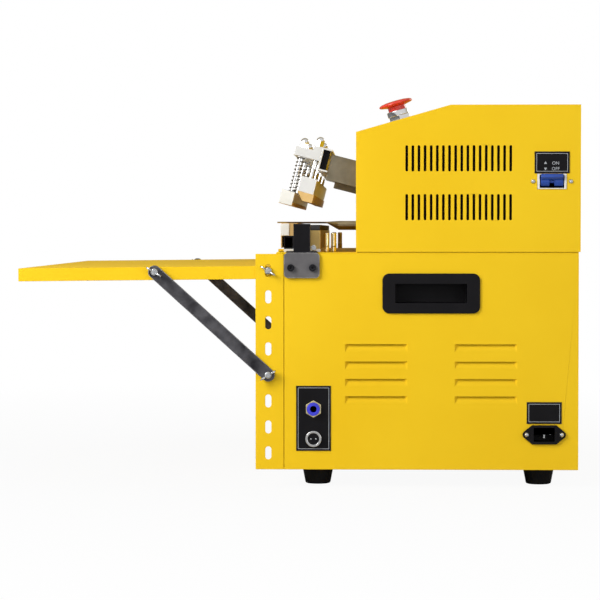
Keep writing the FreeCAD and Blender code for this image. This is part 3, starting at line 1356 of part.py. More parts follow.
def inner_parts():
    """Transformer, vacuum pump and control board on the floor of the base."""
    floor_top = f"({FLOOR} + sheet_wall)"
    middle_y = f"({BASE_FRONT} + base_depth / 2)"
    core_x = "(-board_width / 2 - inner_gap - core_width / 2)"
    pump_x = "(board_width / 2 + inner_gap)"
    core = centred((core_x, middle_y, f"{floor_top} + core_height / 2"),
                   ("core_width", "core_depth", "core_height"))
    windows = []
    for way in (-1, 1):
        middle_x = f"{core_x} + {way} * core_width / 4"
        windows.append(centred((middle_x, middle_y, f"{floor_top} + core_height / 2"),
                               ("core_width / 2 - 2 * core_leg", "2 * core_depth",
                                "core_height - 2 * core_leg")))
    coil_width = "core_width - 2 * core_leg - 4 * play_gap"
    coil_block = centred((core_x, middle_y, f"{floor_top} + core_height / 2"),
                         (coil_width, "coil_depth", "core_height - 2 * core_leg - 4 * play_gap"))
    limb = centred((core_x, middle_y, f"{floor_top} + core_height / 2"),
                   ("2 * core_leg + 2 * running_fit", "core_depth + 2 * running_fit", "2 * core_height"))
    node("transformer", group([cut(core, *windows), cut(coil_block, limb)]))
    pump_z = f"({floor_top} + pump_foot / 2 + pump_radius)"
    drum = rod("x", (middle_y, pump_z), pump_x, f"{pump_x} + pump_length", "pump_radius")
    foot = box((pump_x, f"{middle_y} - pump_radius", floor_top),
               (f"{pump_x} + pump_length", f"{middle_y} + pump_radius", f"{floor_top} + pump_foot"))
    saddle = box((f"{pump_x} + pump_foot", f"{middle_y} - pump_radius / 2", floor_top),
                 (f"{pump_x} + pump_length - pump_foot", f"{middle_y} + pump_radius / 2", pump_z))
    node("vacuum_pump", fuse(drum, foot, saddle))
    board_front = f"({BASE_FRONT} + 2 * pump_foot)"
    board_bottom = f"({floor_top} + board_stand)"
    solids = [box(("-board_width / 2", board_front, board_bottom),
                  ("board_width / 2", f"{board_front} + board_depth", f"{board_bottom} + board_thick"))]
    for way_x in (-1, 1):
        for way_y in (-1, 1):
            at = (f"{way_x} * (board_width / 2 - board_stand)",
                  f"{board_front} + board_depth / 2 + {way_y} * (board_depth / 2 - board_stand)")
            solids.append(rod("z", at, floor_top, board_bottom, "board_stand / 3"))
    node("control_board", group(solids))


def build():
    """Draw every sub-part."""
    fill_sheet()
    base_shell()
    front_panel()
    rear_panel()
    deck_plate()
    rubber_feet()
    carry_handles()
    label_plates()
    gas_fitting()
    pedal_socket()
    contact_pins()
    power_inlet()
    panel_screws()
    breaker()
    upper_cover()
    upper_fascia()
    upper_rear_panel()
    control_panel()
    emergency_stop()
    jaw_pivot()
    jaw_frame()
    guide_rods()
    jaw_fasteners()
    clamp_springs()
    clamp()
    sealer()
    jaw_cylinders()
    lower_jaw()
    stop_brackets()
    heater_terminals()
    vacuum_nozzles()
    nozzle_carriage()
    nozzle_rails()
    nozzle_cylinder()
    table_top()
    braces()
    table_fasteners()
    inner_parts()
    doc.recompute()


def check():
    """Stop if any object failed or any sub-part is empty or invalid."""
    for item in doc.Objects:
        if "Invalid" in item.State or "Error" in item.State:
            raise RuntimeError(f"{item.Name} failed: {item.State}")
    for item in nodes:
        if item.Shape.isNull() or not item.Shape.isValid() or not item.Shape.Solids:
            raise RuntimeError(f"{item.Label} has no valid solid")


def export():
    """Write each sub-part to its own file."""
    os.makedirs("parts", exist_ok=True)
    for item in nodes:
        item.Shape.exportStep(f"parts/{item.Label}.step")


build()
check()
export()
print("sub-parts", len(nodes))
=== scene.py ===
"""Looks of a desktop impulse heat sealer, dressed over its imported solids.

Lengths are millimetres, and metres in the studio and in names that end in _m. The machine's front faces
-Y, the operator's right is +X, Z is up, and the camera stands on the right side as the photographer did.
"""

import json
import logging
import math
from dataclasses import dataclass
from enum import Enum
from typing import Callable, Iterable, Optional, Sequence

import bmesh
import bpy
from mathutils import Matrix, Vector


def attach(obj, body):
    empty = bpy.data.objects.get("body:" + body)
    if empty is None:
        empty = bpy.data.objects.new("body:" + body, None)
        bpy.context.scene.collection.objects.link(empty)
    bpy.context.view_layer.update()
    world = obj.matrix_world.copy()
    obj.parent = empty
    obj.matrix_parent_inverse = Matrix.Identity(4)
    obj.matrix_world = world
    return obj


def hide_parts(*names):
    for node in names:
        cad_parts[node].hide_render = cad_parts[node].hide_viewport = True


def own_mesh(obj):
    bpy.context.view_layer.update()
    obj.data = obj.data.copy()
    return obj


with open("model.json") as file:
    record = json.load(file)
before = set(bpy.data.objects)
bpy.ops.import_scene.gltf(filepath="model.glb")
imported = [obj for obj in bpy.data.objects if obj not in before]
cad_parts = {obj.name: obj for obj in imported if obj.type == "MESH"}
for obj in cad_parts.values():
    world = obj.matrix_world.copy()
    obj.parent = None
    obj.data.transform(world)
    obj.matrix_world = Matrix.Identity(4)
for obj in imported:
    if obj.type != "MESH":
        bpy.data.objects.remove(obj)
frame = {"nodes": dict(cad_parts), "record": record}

LOG = logging.getLogger("sealer")
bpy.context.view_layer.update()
MM = 0.001
# Places in the CAD: the open jaw, the control panel's sloping face, the right side and its black plates
JAW_OPEN = math.radians(14.5)
JAW_SHAFT = Vector((0.0, 116.85, 353.2))
SLOPE = math.atan2(31.0, 108.7)
SLOPE_FOOT = Vector((0.0, 66.25, 408.5))
SIDE = 340.0
PLATE_FACE = 340.8
# Corners closer than this are one corner, and faces that meet flatter than this are one face
MERGE_GAP = 0.004
FLAT_ANGLE = math.radians(0.4)
# Edges sharper than these are rounded, and shown as edges
ROUND_ANGLE = math.radians(38)
SMOOTH_ANGLE = math.radians(34)
SOFT_ANGLE = math.radians(40)
# Noise between which a finish goes from its colour to its shade, and a worn edge from whole to bare
PATCH_RANGE = (0.3, 0.7)
WEAR_RANGE = (0.35, 0.6)
# Cosine of the turn within an edge's softened normal, from flat to a worn edge
EDGE_RANGE = (0.985, 0.90)
EDGE_WIDTH = 1.6
BUMP_STRENGTH = 0.6
BRUSH_STRETCH = 0.02
# A wave texture repeats every 0.314 / scale metres
WAVE_LENGTH = 0.314
WHITE = (1.0, 1.0, 1.0, 1.0)
RING_SIDES = 48

Piece = bpy.types.Object
Tree = bpy.types.NodeTree
Socket = bpy.types.NodeSocket
Colour = tuple[float, float, float, float]
Corner = tuple[float, float, float]
Span = tuple[float, float]
Section = tuple[Span, Span]
Rings = Sequence[Span]


class Grain(Enum):
    """How a surface was made, which decides its fine pattern."""

    PEEL = "baked powder, fine orange peel"
    BRUSHED = "parallel lines of rolling or brushing"
    MOTTLED = "patches of plating or mill scale"
    MOULDED = "fine even texture of a spark eroded tool"
    WOVEN = "plain weave"


class Way(Enum):
    """Axis that a brushed surface's lines or a turned piece run along."""

    X = (1.0, 0.0, 0.0)
    Y = (0.0, 1.0, 0.0)
    Z = (0.0, 0.0, 1.0)


def linear(colour: str) -> Colour:
    """Turn an sRGB hex colour to linear.

    Args:
        colour: six hex digits after a hash.

    Returns:
        Linear red, green, blue and an alpha of one.
    """
    parts = [int(colour[start:start + 2], 16) / 255 for start in (1, 3, 5)]
    low = [part / 12.92 if part <= 0.04045 else ((part + 0.055) / 1.055) ** 2.4 for part in parts]
    return (*low, 1.0)


def add(tree: Tree, kind: str, settings: Optional[dict] = None, **inputs) -> bpy.types.Node:
    """Add one node with its settings, values and links.

    Args:
        tree: the material's or world's node tree.
        kind: node type without its ShaderNode prefix.
        settings: attributes of the node itself.
        inputs: socket names with spaces written as _, or s0, s1 for a socket's number. A socket is linked and
            any other value is set.

    Returns:
        The new node.
    """
    node = tree.nodes.new("ShaderNode" + kind)
    for key, value in (settings or {}).items():
        setattr(node, key, value)
    for key, value in inputs.items():
        numbered = key[0] == "s" and key[1:].isdigit()
        socket = node.inputs[int(key[1:]) if numbered else key.replace("_", " ")]
        if isinstance(value, Socket):
            tree.links.new(value, socket)
        else:
            socket.default_value = value
    return node


def between(tree: Tree, value: Socket, ends: Span) -> Socket:
    """Map a value to where it lies between two ends.

    Args:
        tree: the material's or world's node tree.
        value: what is mapped.
        ends: the values that become 0 and 1.

    Returns:
        A factor from 0 to 1.
    """
    return add(tree, "MapRange", Value=value, From_Min=ends[0], From_Max=ends[1]).outputs[0]


@dataclass(frozen=True)
class Finish:
    """A real material with the way its surface was made.

    Colours are sRGB hex; grain, relief and patch are real sizes in millimetres.
    """

    name: str
    colour: str
    shade: str
    grain: Grain
    roughness: float
    metallic: float = 0.0
    spread: float = 0.08
    grain_mm: float = 0.6
    relief_mm: float = 0.02
    patch_mm: float = 60.0
    run: Way = Way.X
    coat: float = 0.0
    worn: str = ""
    ior: float = 1.5
    specular: float = 0.5

    def material(self) -> bpy.types.Material:
        """Give this finish's material, built when it is first asked for.

        Returns:
            The Blender material.
        """
        material = bpy.data.materials.get(self.name)
        if material:
            return material
        material = bpy.data.materials.new(self.name)
        material.use_nodes = True
        tree = material.node_tree
        shader = tree.nodes["Principled BSDF"]
        where = add(tree, "TexCoord").outputs["Object"]
        patches = add(tree, "TexNoise", Vector=where, Scale=1000 / self.patch_mm, Detail=3.0)
        blend = between(tree, patches.outputs[0], PATCH_RANGE)
        colour = add(tree, "Mix", {"data_type": "RGBA"}, s0=blend,
                     s6=linear(self.colour), s7=linear(self.shade)).outputs[2]
        height = self.height(tree, where)
        if self.worn:
            colour = add(tree, "Mix", {"data_type": "RGBA"}, s0=self.edges(tree, patches.outputs[0]),
                         s6=colour, s7=linear(self.worn)).outputs[2]
        gloss = add(tree, "MapRange", Value=height, To_Min=self.roughness - self.spread,
                    To_Max=self.roughness + self.spread)
        bump = add(tree, "Bump", Height=height, Strength=BUMP_STRENGTH, Distance=self.relief_mm * MM)
        tree.links.new(colour, shader.inputs["Base Color"])
        tree.links.new(gloss.outputs[0], shader.inputs["Roughness"])
        tree.links.new(bump.outputs[0], shader.inputs["Normal"])
        shader.inputs["Metallic"].default_value = self.metallic
        if self.metallic < 1.0:
            shader.inputs["IOR"].default_value = self.ior
            shader.inputs["Specular IOR Level"].default_value = self.specular
        shader.inputs["Coat Weight"].default_value = self.coat
        return material

    def edges(self, tree: Tree, patches: Socket) -> Socket:
        """Mask of the edges that handling has rubbed bare.

        Args:
            tree: the material's nodes.
            patches: slow noise that breaks the wear up.

        Returns:
            A factor from 0 to 1.
        """
        soft = add(tree, "Bevel", {"samples": 4}, Radius=EDGE_WIDTH * MM)
        plain = add(tree, "NewGeometry")
        same = add(tree, "VectorMath", {"operation": "DOT_PRODUCT"}, s0=soft.outputs[0],
                   s1=plain.outputs["Normal"])
        edge = between(tree, same.outputs["Value"], EDGE_RANGE)
        broken = between(tree, patches, WEAR_RANGE)
        return add(tree, "Math", {"operation": "MULTIPLY"}, s0=edge, s1=broken).outputs[0]

    def height(self, tree: Tree, where: Socket) -> Socket:
        """Fine pattern of the surface as a height from 0 to 1.

        Args:
            tree: the material's nodes.
            where: object coordinates.

        Returns:
            The height socket.
        """
        scale = 1000 / self.grain_mm
        if self.grain is Grain.WOVEN:
            threads = [add(tree, "TexWave", {"bands_direction": way}, Vector=where, Scale=WAVE_LENGTH * scale)
                       for way in ("X", "DIAGONAL")]
            return add(tree, "Math", {"operation": "MAXIMUM"}, s0=threads[0].outputs["Fac"],
                       s1=threads[1].outputs["Fac"]).outputs[0]
        if self.grain is Grain.BRUSHED:
            stretch = [BRUSH_STRETCH if part else 1.0 for part in self.run.value]
            lines = add(tree, "Mapping", Vector=where, Scale=stretch)
            return add(tree, "TexNoise", Vector=lines.outputs[0], Scale=scale, Detail=4.0).outputs[0]
        if self.grain is Grain.MOTTLED:
            spots = add(tree, "TexVoronoi", {"feature": "SMOOTH_F1"}, Vector=where, Scale=scale)
            return spots.outputs["Distance"]
        detail = 1.0 if self.grain is Grain.PEEL else 4.0
        return add(tree, "TexNoise", Vector=where, Scale=scale, Detail=detail).outputs[0]


# Powder coat: satin yellow, a fine orange peel drawn at 1.6 mm so that it shows at this distance
POWDER = Finish("powder_coated_steel", "#F4CA1F", "#EFC218", Grain.PEEL, 0.45, spread=0.06, grain_mm=1.6,
                relief_mm=0.03, patch_mm=180, specular=0.14)
# Grey hammered enamel on the stop brackets, rubbed bright along its edges
GREY_ENAMEL = Finish("grey_stoved_enamel", "#595759", "#666465", Grain.MOULDED, 0.45, grain_mm=0.9,
                     relief_mm=0.03, patch_mm=12, worn="#B5B3AF", specular=0.3)
# Black oxide and black enamel: nearly black, satin
BLACK_ENAMEL = Finish("black_stoved_enamel", "#0B0A0D", "#111013", Grain.PEEL, 0.42, grain_mm=0.8,
                      patch_mm=15, worn="#3A3A40", specular=0.12)
# Black ABS: fine moulded texture with a dull sheen
BLACK_ABS = Finish("black_moulded_abs", "#0C0B0E", "#111013", Grain.MOULDED, 0.5, grain_mm=0.5,
                   relief_mm=0.03, patch_mm=30, specular=0.12)
# White polyamide of the caps and the breaker: bright, slightly warm, soft highlights
WHITE_ABS = Finish("white_moulded_polyamide", "#F1EFE7", "#E7E5DB", Grain.MOULDED, 0.42, patch_mm=20)
# Deep blue of the breaker's levers, with a clean highlight
BLUE_ABS = Finish("blue_moulded_polycarbonate", "#1E4AA6", "#173E92", Grain.MOULDED, 0.3, relief_mm=0.01,
                  patch_mm=10)
# Violet blue of the gas collet, waxy
COLLET_BLUE = Finish("blue_acetal", "#3F43DD", "#3338C4", Grain.MOULDED, 0.28, grain_mm=0.5, relief_mm=0.01,
                     patch_mm=8)
# Glossy red of the stop's head
RED_ABS = Finish("red_gloss_polycarbonate", "#DF3A2C", "#CF2E22", Grain.MOULDED, 0.26, grain_mm=0.8,
                 relief_mm=0.01, patch_mm=14, coat=0.2)
# Foot rubber: black, takes almost no highlight
FOOT_RUBBER = Finish("black_foot_rubber", "#131315", "#1C1C1E", Grain.MOULDED, 0.72, grain_mm=0.7,
                     relief_mm=0.05, patch_mm=9, specular=0.12)
# Black sheet behind the cover's slots: painted shade, black, dull, gives nothing back
SHADE_BLACK = Finish("black_painted_slot_shade", "#070606", "#0D0C0A", Grain.MOULDED, 0.9, grain_mm=0.8, relief_mm=0.1,
              patch_mm=9, specular=0.05)
# Silicone of the pads: pale tan, soft
PAD_RUBBER = Finish("tan_silicone_rubber", "#E2BC78", "#D4AC66", Grain.MOULDED, 0.55, relief_mm=0.03,
                    patch_mm=14)
# Silicone of the lower strip: black, soft
STRIP_RUBBER = Finish("black_silicone_rubber", "#171719", "#202022", Grain.MOULDED, 0.6, grain_mm=0.5,
                      relief_mm=0.03, patch_mm=14)
# Coated glass cloth: tan, threads drawn at 0.9 mm where the real ones are 0.3 mm. On the white lower clamp
# bar the same tan is a painted reflection of the yellow body
GLASS_CLOTH_AND_PAINTED_REFLECTION = Finish("coated_glass_cloth_and_painted_reflection", "#D6B274", "#C49E5E", Grain.WOVEN, 0.38, grain_mm=0.9,
                     relief_mm=0.05, patch_mm=25)
# Zinc plated steel: bright with a faint spangle
ZINC = Finish("zinc_plated_steel", "#D2D4D6", "#B4B7BA", Grain.MOTTLED, 0.26, metallic=1.0, grain_mm=1.4,
              relief_mm=0.01, patch_mm=5)
# Hot rolled strip: dark, blotched with scale and rubbed at its edges
BAR_STEEL = Finish("hot_rolled_strip", "#5F5E62", "#252428", Grain.MOTTLED, 0.42, metallic=0.8, grain_mm=4,
                   patch_mm=20, worn="#C5C4C6")
# Ground plate of the arms: brownish grey with lines along the arm
ARM_STEEL = Finish("ground_steel_plate", "#857C69", "#726A58", Grain.BRUSHED, 0.4, metallic=0.8,
                   grain_mm=0.7, patch_mm=14, run=Way.Y)
# Turned and chromed pieces: mirrors of the room
BRIGHT = Finish("bright_turned_steel", "#DEDEDC", "#CFCFCD", Grain.BRUSHED, 0.16, metallic=1.0, spread=0.05,
                relief_mm=0.004, patch_mm=12, run=Way.Y)
CHROME = Finish("chrome_plate", "#D2D2D2", "#C6C6C6", Grain.MOTTLED, 0.1, metallic=1.0, spread=0.04,
                grain_mm=3, relief_mm=0.003, patch_mm=20)
# Extruded bars: nearly white, with lines along the bar
ALUMINIUM = Finish("extruded_aluminium", "#EDECE8", "#E3E2DD", Grain.BRUSHED, 0.32, metallic=0.6,
                   relief_mm=0.015, patch_mm=40)
# Plated brass of the gas fitting and the terminals: pale gold
BRASS = Finish("plated_brass", "#E8DDB4", "#D8CA98", Grain.MOTTLED, 0.24, metallic=1.0, grain_mm=2,
               relief_mm=0.01, patch_mm=6)
# Spring wire and nozzle tube: duller steel than the turned pieces beside them
SPRING_WIRE = Finish("drawn_spring_wire", "#737170", "#5F5D5B", Grain.BRUSHED, 0.42, metallic=1.0,
                     grain_mm=0.4, relief_mm=0.004, patch_mm=6, run=Way.Z)
NOZZLE_STEEL = Finish("flattened_steel_tube", "#B5A98C", "#A0957B", Grain.BRUSHED, 0.32, metallic=0.95,
                      relief_mm=0.008, patch_mm=20, run=Way.Y)
# Aluminium rail under the lower strip, coloured gold as a painted reflection of the yellow body
ALUMINIUM_PAINTED_YELLOW_REFLECTION = Finish("aluminium_with_painted_yellow_reflection", "#C4A768", "#B39656", Grain.BRUSHED, 0.34, metallic=0.7,
                       relief_mm=0.01, patch_mm=40)
# Board laminate: dark green with a weave
LAMINATE = Finish("green_board_laminate", "#17512C", "#124525", Grain.WOVEN, 0.4, grain_mm=1.0, patch_mm=30)
# Screen print on the plates: pale grey, flat
PRINT_GREY = Finish("pale_grey_print", "#B2B6BA", "#A6AAAE", Grain.PEEL, 0.5, grain_mm=0.4, relief_mm=0.005,
                    patch_mm=10)
# Display window: smoked, glossy
DARK_GLASS = Finish("smoked_display_window", "#1A0F10", "#221416", Grain.PEEL, 0.12, spread=0.03,
                    grain_mm=6, relief_mm=0.004, patch_mm=30, coat=0.3)
# Keys: matt silicone, one of them green
KEY_GREY = Finish("grey_silicone_key", "#8E949B", "#848A91", Grain.MOULDED, 0.5, grain_mm=0.5, patch_mm=9)
KEY_GREEN = Finish("green_silicone_key", "#3C8B4A", "#347D42", Grain.MOULDED, 0.5, grain_mm=0.5, patch_mm=9)

SLOT_FINISHES = {
    "yellow_paint": POWDER, "grey_paint": GREY_ENAMEL, "black_paint": BLACK_ENAMEL,
    "black_plastic": BLACK_ABS, "white_plastic": WHITE_ABS, "blue_plastic": BLUE_ABS, "red_plastic": RED_ABS,
    "foot_rubber": FOOT_RUBBER, "pad_rubber": PAD_RUBBER, "strip_rubber": STRIP_RUBBER,
    "release_cloth": GLASS_CLOTH_AND_PAINTED_REFLECTION, "zinc_steel": ZINC, "bar_steel": BAR_STEEL, "arm_steel": ARM_STEEL,
    "bright_steel": BRIGHT, "jaw_aluminium": ALUMINIUM, "terminal_brass": BRASS, "board_laminate": LAMINATE,
}
NODE_FINISHES = {
    "gas_fitting_collet": COLLET_BLUE, "estop_collar": CHROME, "pedal_socket_shell": CHROME,
    "guide_rods": CHROME, "jaw_fasteners": CHROME, "contact_pins": ZINC, "clamp_springs": SPRING_WIRE,
    # The lower clamp bar is white silicone, and its tan is a painted reflection of the yellow body
    # The lower seal rail's gold is a painted reflection of the yellow body on aluminium
    "vacuum_nozzles": NOZZLE_STEEL, "lower_seal_rail": ALUMINIUM_PAINTED_YELLOW_REFLECTION, "lower_clamp_bar": GLASS_CLOTH_AND_PAINTED_REFLECTION,
}
NODE_SLOTS = {row["node"]: row["material_slot"] for row in frame["record"]["subparts"]}
NODE_BODIES = {node: body for body, nodes in frame["record"]["behaviour"]["bodies"].items() for node in nodes}


def finish_of(node: str) -> Finish:
    """Finish that a CAD node takes, from its own entry or its slot's.

    Args:
        node: the CAD node.

    Returns:
        The finish.
    """
    return NODE_FINISHES.get(node, SLOT_FINISHES[NODE_SLOTS[node]])


def clear_selection() -> None:
    """Leave object mode with nothing selected."""
    if bpy.context.object and bpy.context.object.mode != "OBJECT":
        bpy.ops.object.mode_set(mode="OBJECT")
    bpy.ops.object.select_all(action="DESELECT")


def activate(piece: Piece) -> None:
    """Select one piece alone and make it active.

    Args:
        piece: the object.
    """
    clear_selection()
    piece.select_set(True)
    bpy.context.view_layer.objects.active = piece


def leave() -> None:
    """Go back to object mode."""
    bpy.ops.object.mode_set(mode="OBJECT")


def face_out() -> None:
    """Turn every normal of the open piece outward and go back to object mode."""
    bpy.ops.mesh.select_all(action="SELECT")
    bpy.ops.mesh.normals_make_consistent(inside=False)
    leave()


def smooth(piece: Piece, sharp: float) -> None:
    """Shade a piece smooth but for its sharp edges.

    Args:
        piece: the object.
        sharp: angle from which an edge stays sharp.
    """
    activate(piece)
    bpy.ops.object.shade_smooth_by_angle(angle=sharp)


def pick(piece: Piece, kind: str, keep: Optional[Callable] = None) -> None:
    """Open a piece in edit mode and select the corners, edges or faces that a rule keeps.

    Args:
        piece: the object to edit.
        kind: VERT, EDGE or FACE.
        keep: rule on one element; without it all are kept.
    """
    activate(piece)
    bpy.ops.object.mode_set(mode="EDIT")
    bpy.ops.mesh.select_mode(type=kind)
    bpy.ops.mesh.select_all(action="DESELECT")
    mesh = bmesh.from_edit_mesh(piece.data)
    for element in {"VERT": mesh.verts, "EDGE": mesh.edges, "FACE": mesh.faces}[kind]:
        if keep is None or keep(element):
            element.select_set(True)
    mesh.select_flush_mode()
    bmesh.update_edit_mesh(piece.data)


def extrude(rise: float, along: float = 0.0) -> None:
    """Extrude what is selected.

    Args:
        rise: how far along Z.
        along: how far along Y.
    """
    bpy.ops.mesh.extrude_region_move(TRANSFORM_OT_translate={"value": (0, along * MM, rise * MM)})


def bake_place(piece: Piece) -> Piece:
    """Move a piece's place into its mesh, so that its object sits at the origin.

    Args:
        piece: the object.

    Returns:
        The same object.
    """
    activate(piece)
    bpy.ops.object.transform_apply(location=True, rotation=True, scale=True)
    return piece


def block(name: str, low: Sequence[float], high: Sequence[float], round_mm: float = 0.0) -> Piece:
    """Block between two corners with rounded edges.

    Args:
        name: the piece's name.
        low: lowest corner.
        high: highest corner.
        round_mm: radius of its edges.

    Returns:
        The new object.
    """
    low_m, high_m = Vector(low) * MM, Vector(high) * MM
    bpy.ops.mesh.primitive_cube_add(size=1, location=(low_m + high_m) / 2)
    piece = bpy.context.object
    piece.name = name
    piece.scale = high_m - low_m
    bake_place(piece)
    if round_mm:
        pick(piece, "EDGE")
        bpy.ops.mesh.bevel(offset=round_mm * MM, segments=3, affect="EDGES")
        leave()
    return piece


def both(name: str, section: Section, ends: Span, round_mm: float = 0.0) -> list[Piece]:
    """The same block on the right and on the left.

    Args:
        name: name of each block.
        section: its lowest and highest (y, z).
        ends: nearer and farther distance from the middle.
        round_mm: radius of its edges.

    Returns:
        The right and the left block.
    """
    low, high = section
    inner, outer = ends
    return [block(name, (inner, *low), (outer, *high), round_mm),
            block(name, (-outer, *low), (-inner, *high), round_mm)]


def turned(name: str, rings: Rings, sides: int) -> Piece:
    """Piece turned about Z: a circle extruded and resized from ring to ring, closed at both ends.

    Args:
        name: the piece's name.
        rings: (radius, height) pairs from one end to the other.
        sides: facets round the piece.

    Returns:
        The new object.
    """
    radius, height = rings[0]
    bpy.ops.mesh.primitive_circle_add(vertices=sides, radius=radius * MM, fill_type="NGON",
                                      location=(0, 0, height * MM))
    piece = bpy.context.object
    piece.name = name
    bake_place(piece)
    pick(piece, "FACE")
    for (last_radius, last_height), (radius, height) in zip(rings, rings[1:]):
        extrude(height - last_height)
        if radius != last_radius:
            scale = radius / last_radius
            bpy.ops.transform.resize(value=(scale, scale, 1), center_override=(0, 0, height * MM))
    face_out()
    return piece


def ring(name: str, rings: Rings) -> Piece:
    """Turned piece with a hole through it: its two end discs are replaced by the wall of the hole.

    Args:
        name: the piece's name.
        rings: (radius, height) pairs from the hole's lower edge, round the outside, to its upper edge.

    Returns:
        The new object.
    """
    piece = turned(name, rings, RING_SIDES)
    pick(piece, "FACE", lambda face: len(face.verts) == RING_SIDES)
    bpy.ops.mesh.delete(type="ONLY_FACE")
    pick(piece, "EDGE", lambda edge: edge.is_boundary)
    bpy.ops.mesh.bridge_edge_loops()
    face_out()
    return piece


def put(piece: Piece, matrix: Matrix) -> Piece:
    """Set a piece drawn at the origin in its place, and bake that into its mesh.

    Args:
        piece: the object.
        matrix: its place.

    Returns:
        The same object.
    """
    piece.matrix_world = matrix
    return bake_place(piece)


def repeated(first: Piece, places: Iterable[Matrix]) -> list[Piece]:
    """Copy a piece drawn at the origin to each of its places and remove the drawn one.

    Args:
        first: the piece.
        places: where the copies stand.

    Returns:
        The copies.
    """
    copies = []
    for place in places:
        twin = bpy.data.objects.new(first.name, first.data.copy())
        bpy.context.scene.collection.objects.link(twin)
        copies.append(put(twin, place))
    bpy.data.objects.remove(first)
    return copies


def join(name: str, pieces: Sequence[Piece]) -> Piece:
    """Join pieces into one object.

    Args:
        name: name of the joined piece.
        pieces: the objects, of which the first one stays.

    Returns:
        The joined object.
    """
    activate(pieces[0])
    for piece in pieces[1:]:
        piece.select_set(True)
    if len(pieces) > 1:
        bpy.ops.object.join()
    pieces[0].name = name
    return pieces[0]


def modify(piece: Piece, kind: str, **settings) -> None:
    """Add a modifier to a piece and apply it.

    Args:
        piece: the object.
        kind: the modifier's type.
        settings: its attributes.
    """
    activate(piece)
    modifier = piece.modifiers.new(kind, kind)
    for key, value in settings.items():
        setattr(modifier, key, value)
    bpy.ops.object.modifier_apply(modifier=modifier.name)


def round_off(piece: Piece, width: float) -> Piece:
    """Round a piece's sharp edges with an applied bevel and smooth the rest.

    Args:
        piece: the object.
        width: bevel width, or 0 for none.

    Returns:
        The same object.
    """
    if width:
        modify(piece, "BEVEL", width=width * MM, segments=2, limit_method="ANGLE", angle_limit=ROUND_ANGLE,
               use_clamp_overlap=False)
    smooth(piece, SMOOTH_ANGLE)
    # Wide faces keep their own flat normals beside a small bevel
    modify(piece, "WEIGHTED_NORMAL", keep_sharp=True, weight=100)
    return piece


def dress(piece: Piece, body: str, finish: Finish) -> None:
    """Give a piece its finish, slot and body.

    Args:
        piece: the finished object.
        body: CAD body that it rides on.
        finish: its look.
    """
    piece.data.materials.clear()
    piece.data.materials.append(finish.material())
    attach(piece, body)
    LOG.info("%s on %s, %d faces", piece.name, body, len(piece.data.polygons))


def dress_node(piece: Piece, node: str) -> None:
    """Dress a piece that stands for one CAD node, on that node's body and in its slot and finish.

    Args:
        piece: the finished object.
        node: the CAD node.
    """
    dress(piece, NODE_BODIES[node], finish_of(node))
    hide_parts(node)


def merged_copy(node: str, name: str) -> Piece:
    """Copy a CAD node as a clean mesh with its flat faces joined.

    Args:
        node: the CAD node.
        name: name of the copy.

    Returns:
        The copy, not yet dressed.
    """
    piece = bpy.data.objects.new(name, frame["nodes"][node].data.copy())
    bpy.context.scene.collection.objects.link(piece)
    pick(piece, "VERT")
    bpy.ops.mesh.remove_doubles(threshold=MERGE_GAP * MM)
    bpy.ops.mesh.dissolve_limited(angle_limit=FLAT_ANGLE)
    leave()
    return piece


def on_right(y: float, z: float, x: float = SIDE) -> Matrix:
    """Matrix that stands a piece drawn along Z out of the right side.

    Args:
        y: place along the side.
        z: height on the side.
        x: face that it stands on.

    Returns:
        The matrix.
    """
    return Matrix.Translation(Vector((x, y, z)) * MM) @ Matrix.Rotation(math.pi / 2, 4, "Y")


def on_slope(x: float, along: float) -> Matrix:
    """Matrix that stands a piece drawn along Z on the sloping face.

    Args:
        x: place across the machine.
        along: distance up the slope from its foot.

    Returns:
        The matrix.
    """
    turn = Matrix.Rotation(SLOPE, 4, "X")
    return Matrix.Translation(SLOPE_FOOT * MM) @ turn @ Matrix.Translation(Vector((x, along, 0)) * MM)


def on_jaw(x: float, y: float, z: float) -> Matrix:
    """Matrix from the closed jaw's own frame to the jaw as it stands open.

    Args:
        x: place across the machine.
        y: place before the shaft, negative to the front.
        z: height over the shaft.

    Returns:
        The matrix.
    """
    turn = Matrix.Rotation(-JAW_OPEN, 4, "X")
    return Matrix.Translation(JAW_SHAFT * MM) @ turn @ Matrix.Translation(Vector((x, y, z)) * MM)


@dataclass
class Hardware:
    """Folded sheets and hardware, which keep their CAD form and get rounded edges."""

    sheet_round: float = 0.45
    sheets: tuple[str, ...] = ("base_shell", "front_panel", "rear_panel", "deck_plate", "upper_fascia",
                               "upper_rear_panel", "upper_cover", "table_top")
    widths: tuple[tuple[str, float], ...] = (
        ("carry_handles", 0.9), ("label_plates", 0.2), ("gas_fitting_body", 0.35),
        ("pedal_socket_shell", 0.5), ("panel_screws", 0.3), ("breaker_body", 0.5), ("estop_collar", 0.6),
        ("jaw_arms", 0.5), ("jaw_crossbar", 0.3), ("jaw_carrier", 0.4), ("guide_rods", 0.3),
        ("jaw_fasteners", 0.25), ("clamp_bar", 0.5), ("clamp_pad", 0.6), ("seal_bar", 0.5),
        ("lower_jaw_base", 0.4), ("lower_front_rail", 0.4), ("lower_clamp_bar", 0.6),
        ("lower_seal_rail", 0.4), ("lower_seal_strip", 0.7), ("stop_brackets", 0.5), ("stop_blocks", 0.4),
        ("heater_terminals", 0.9), ("braces", 0.35), ("pivot_wing_screws", 0.35),
        ("brace_top_wing_screws", 0.35), ("brace_foot_wing_screws", 0.35), ("power_inlet", 0.4),
        ("bracket_screws", 0.3), ("contact_pins", 0.25),
    )

    def build(self) -> None:
        """Round and dress each sheet and each piece."""
        for node in self.sheets:
            dress_node(round_off(merged_copy(node, node + "_folded"), self.sheet_round), node)
        for node, width in self.widths:
            dress_node(round_off(merged_copy(node, node + "_finished"), width), node)


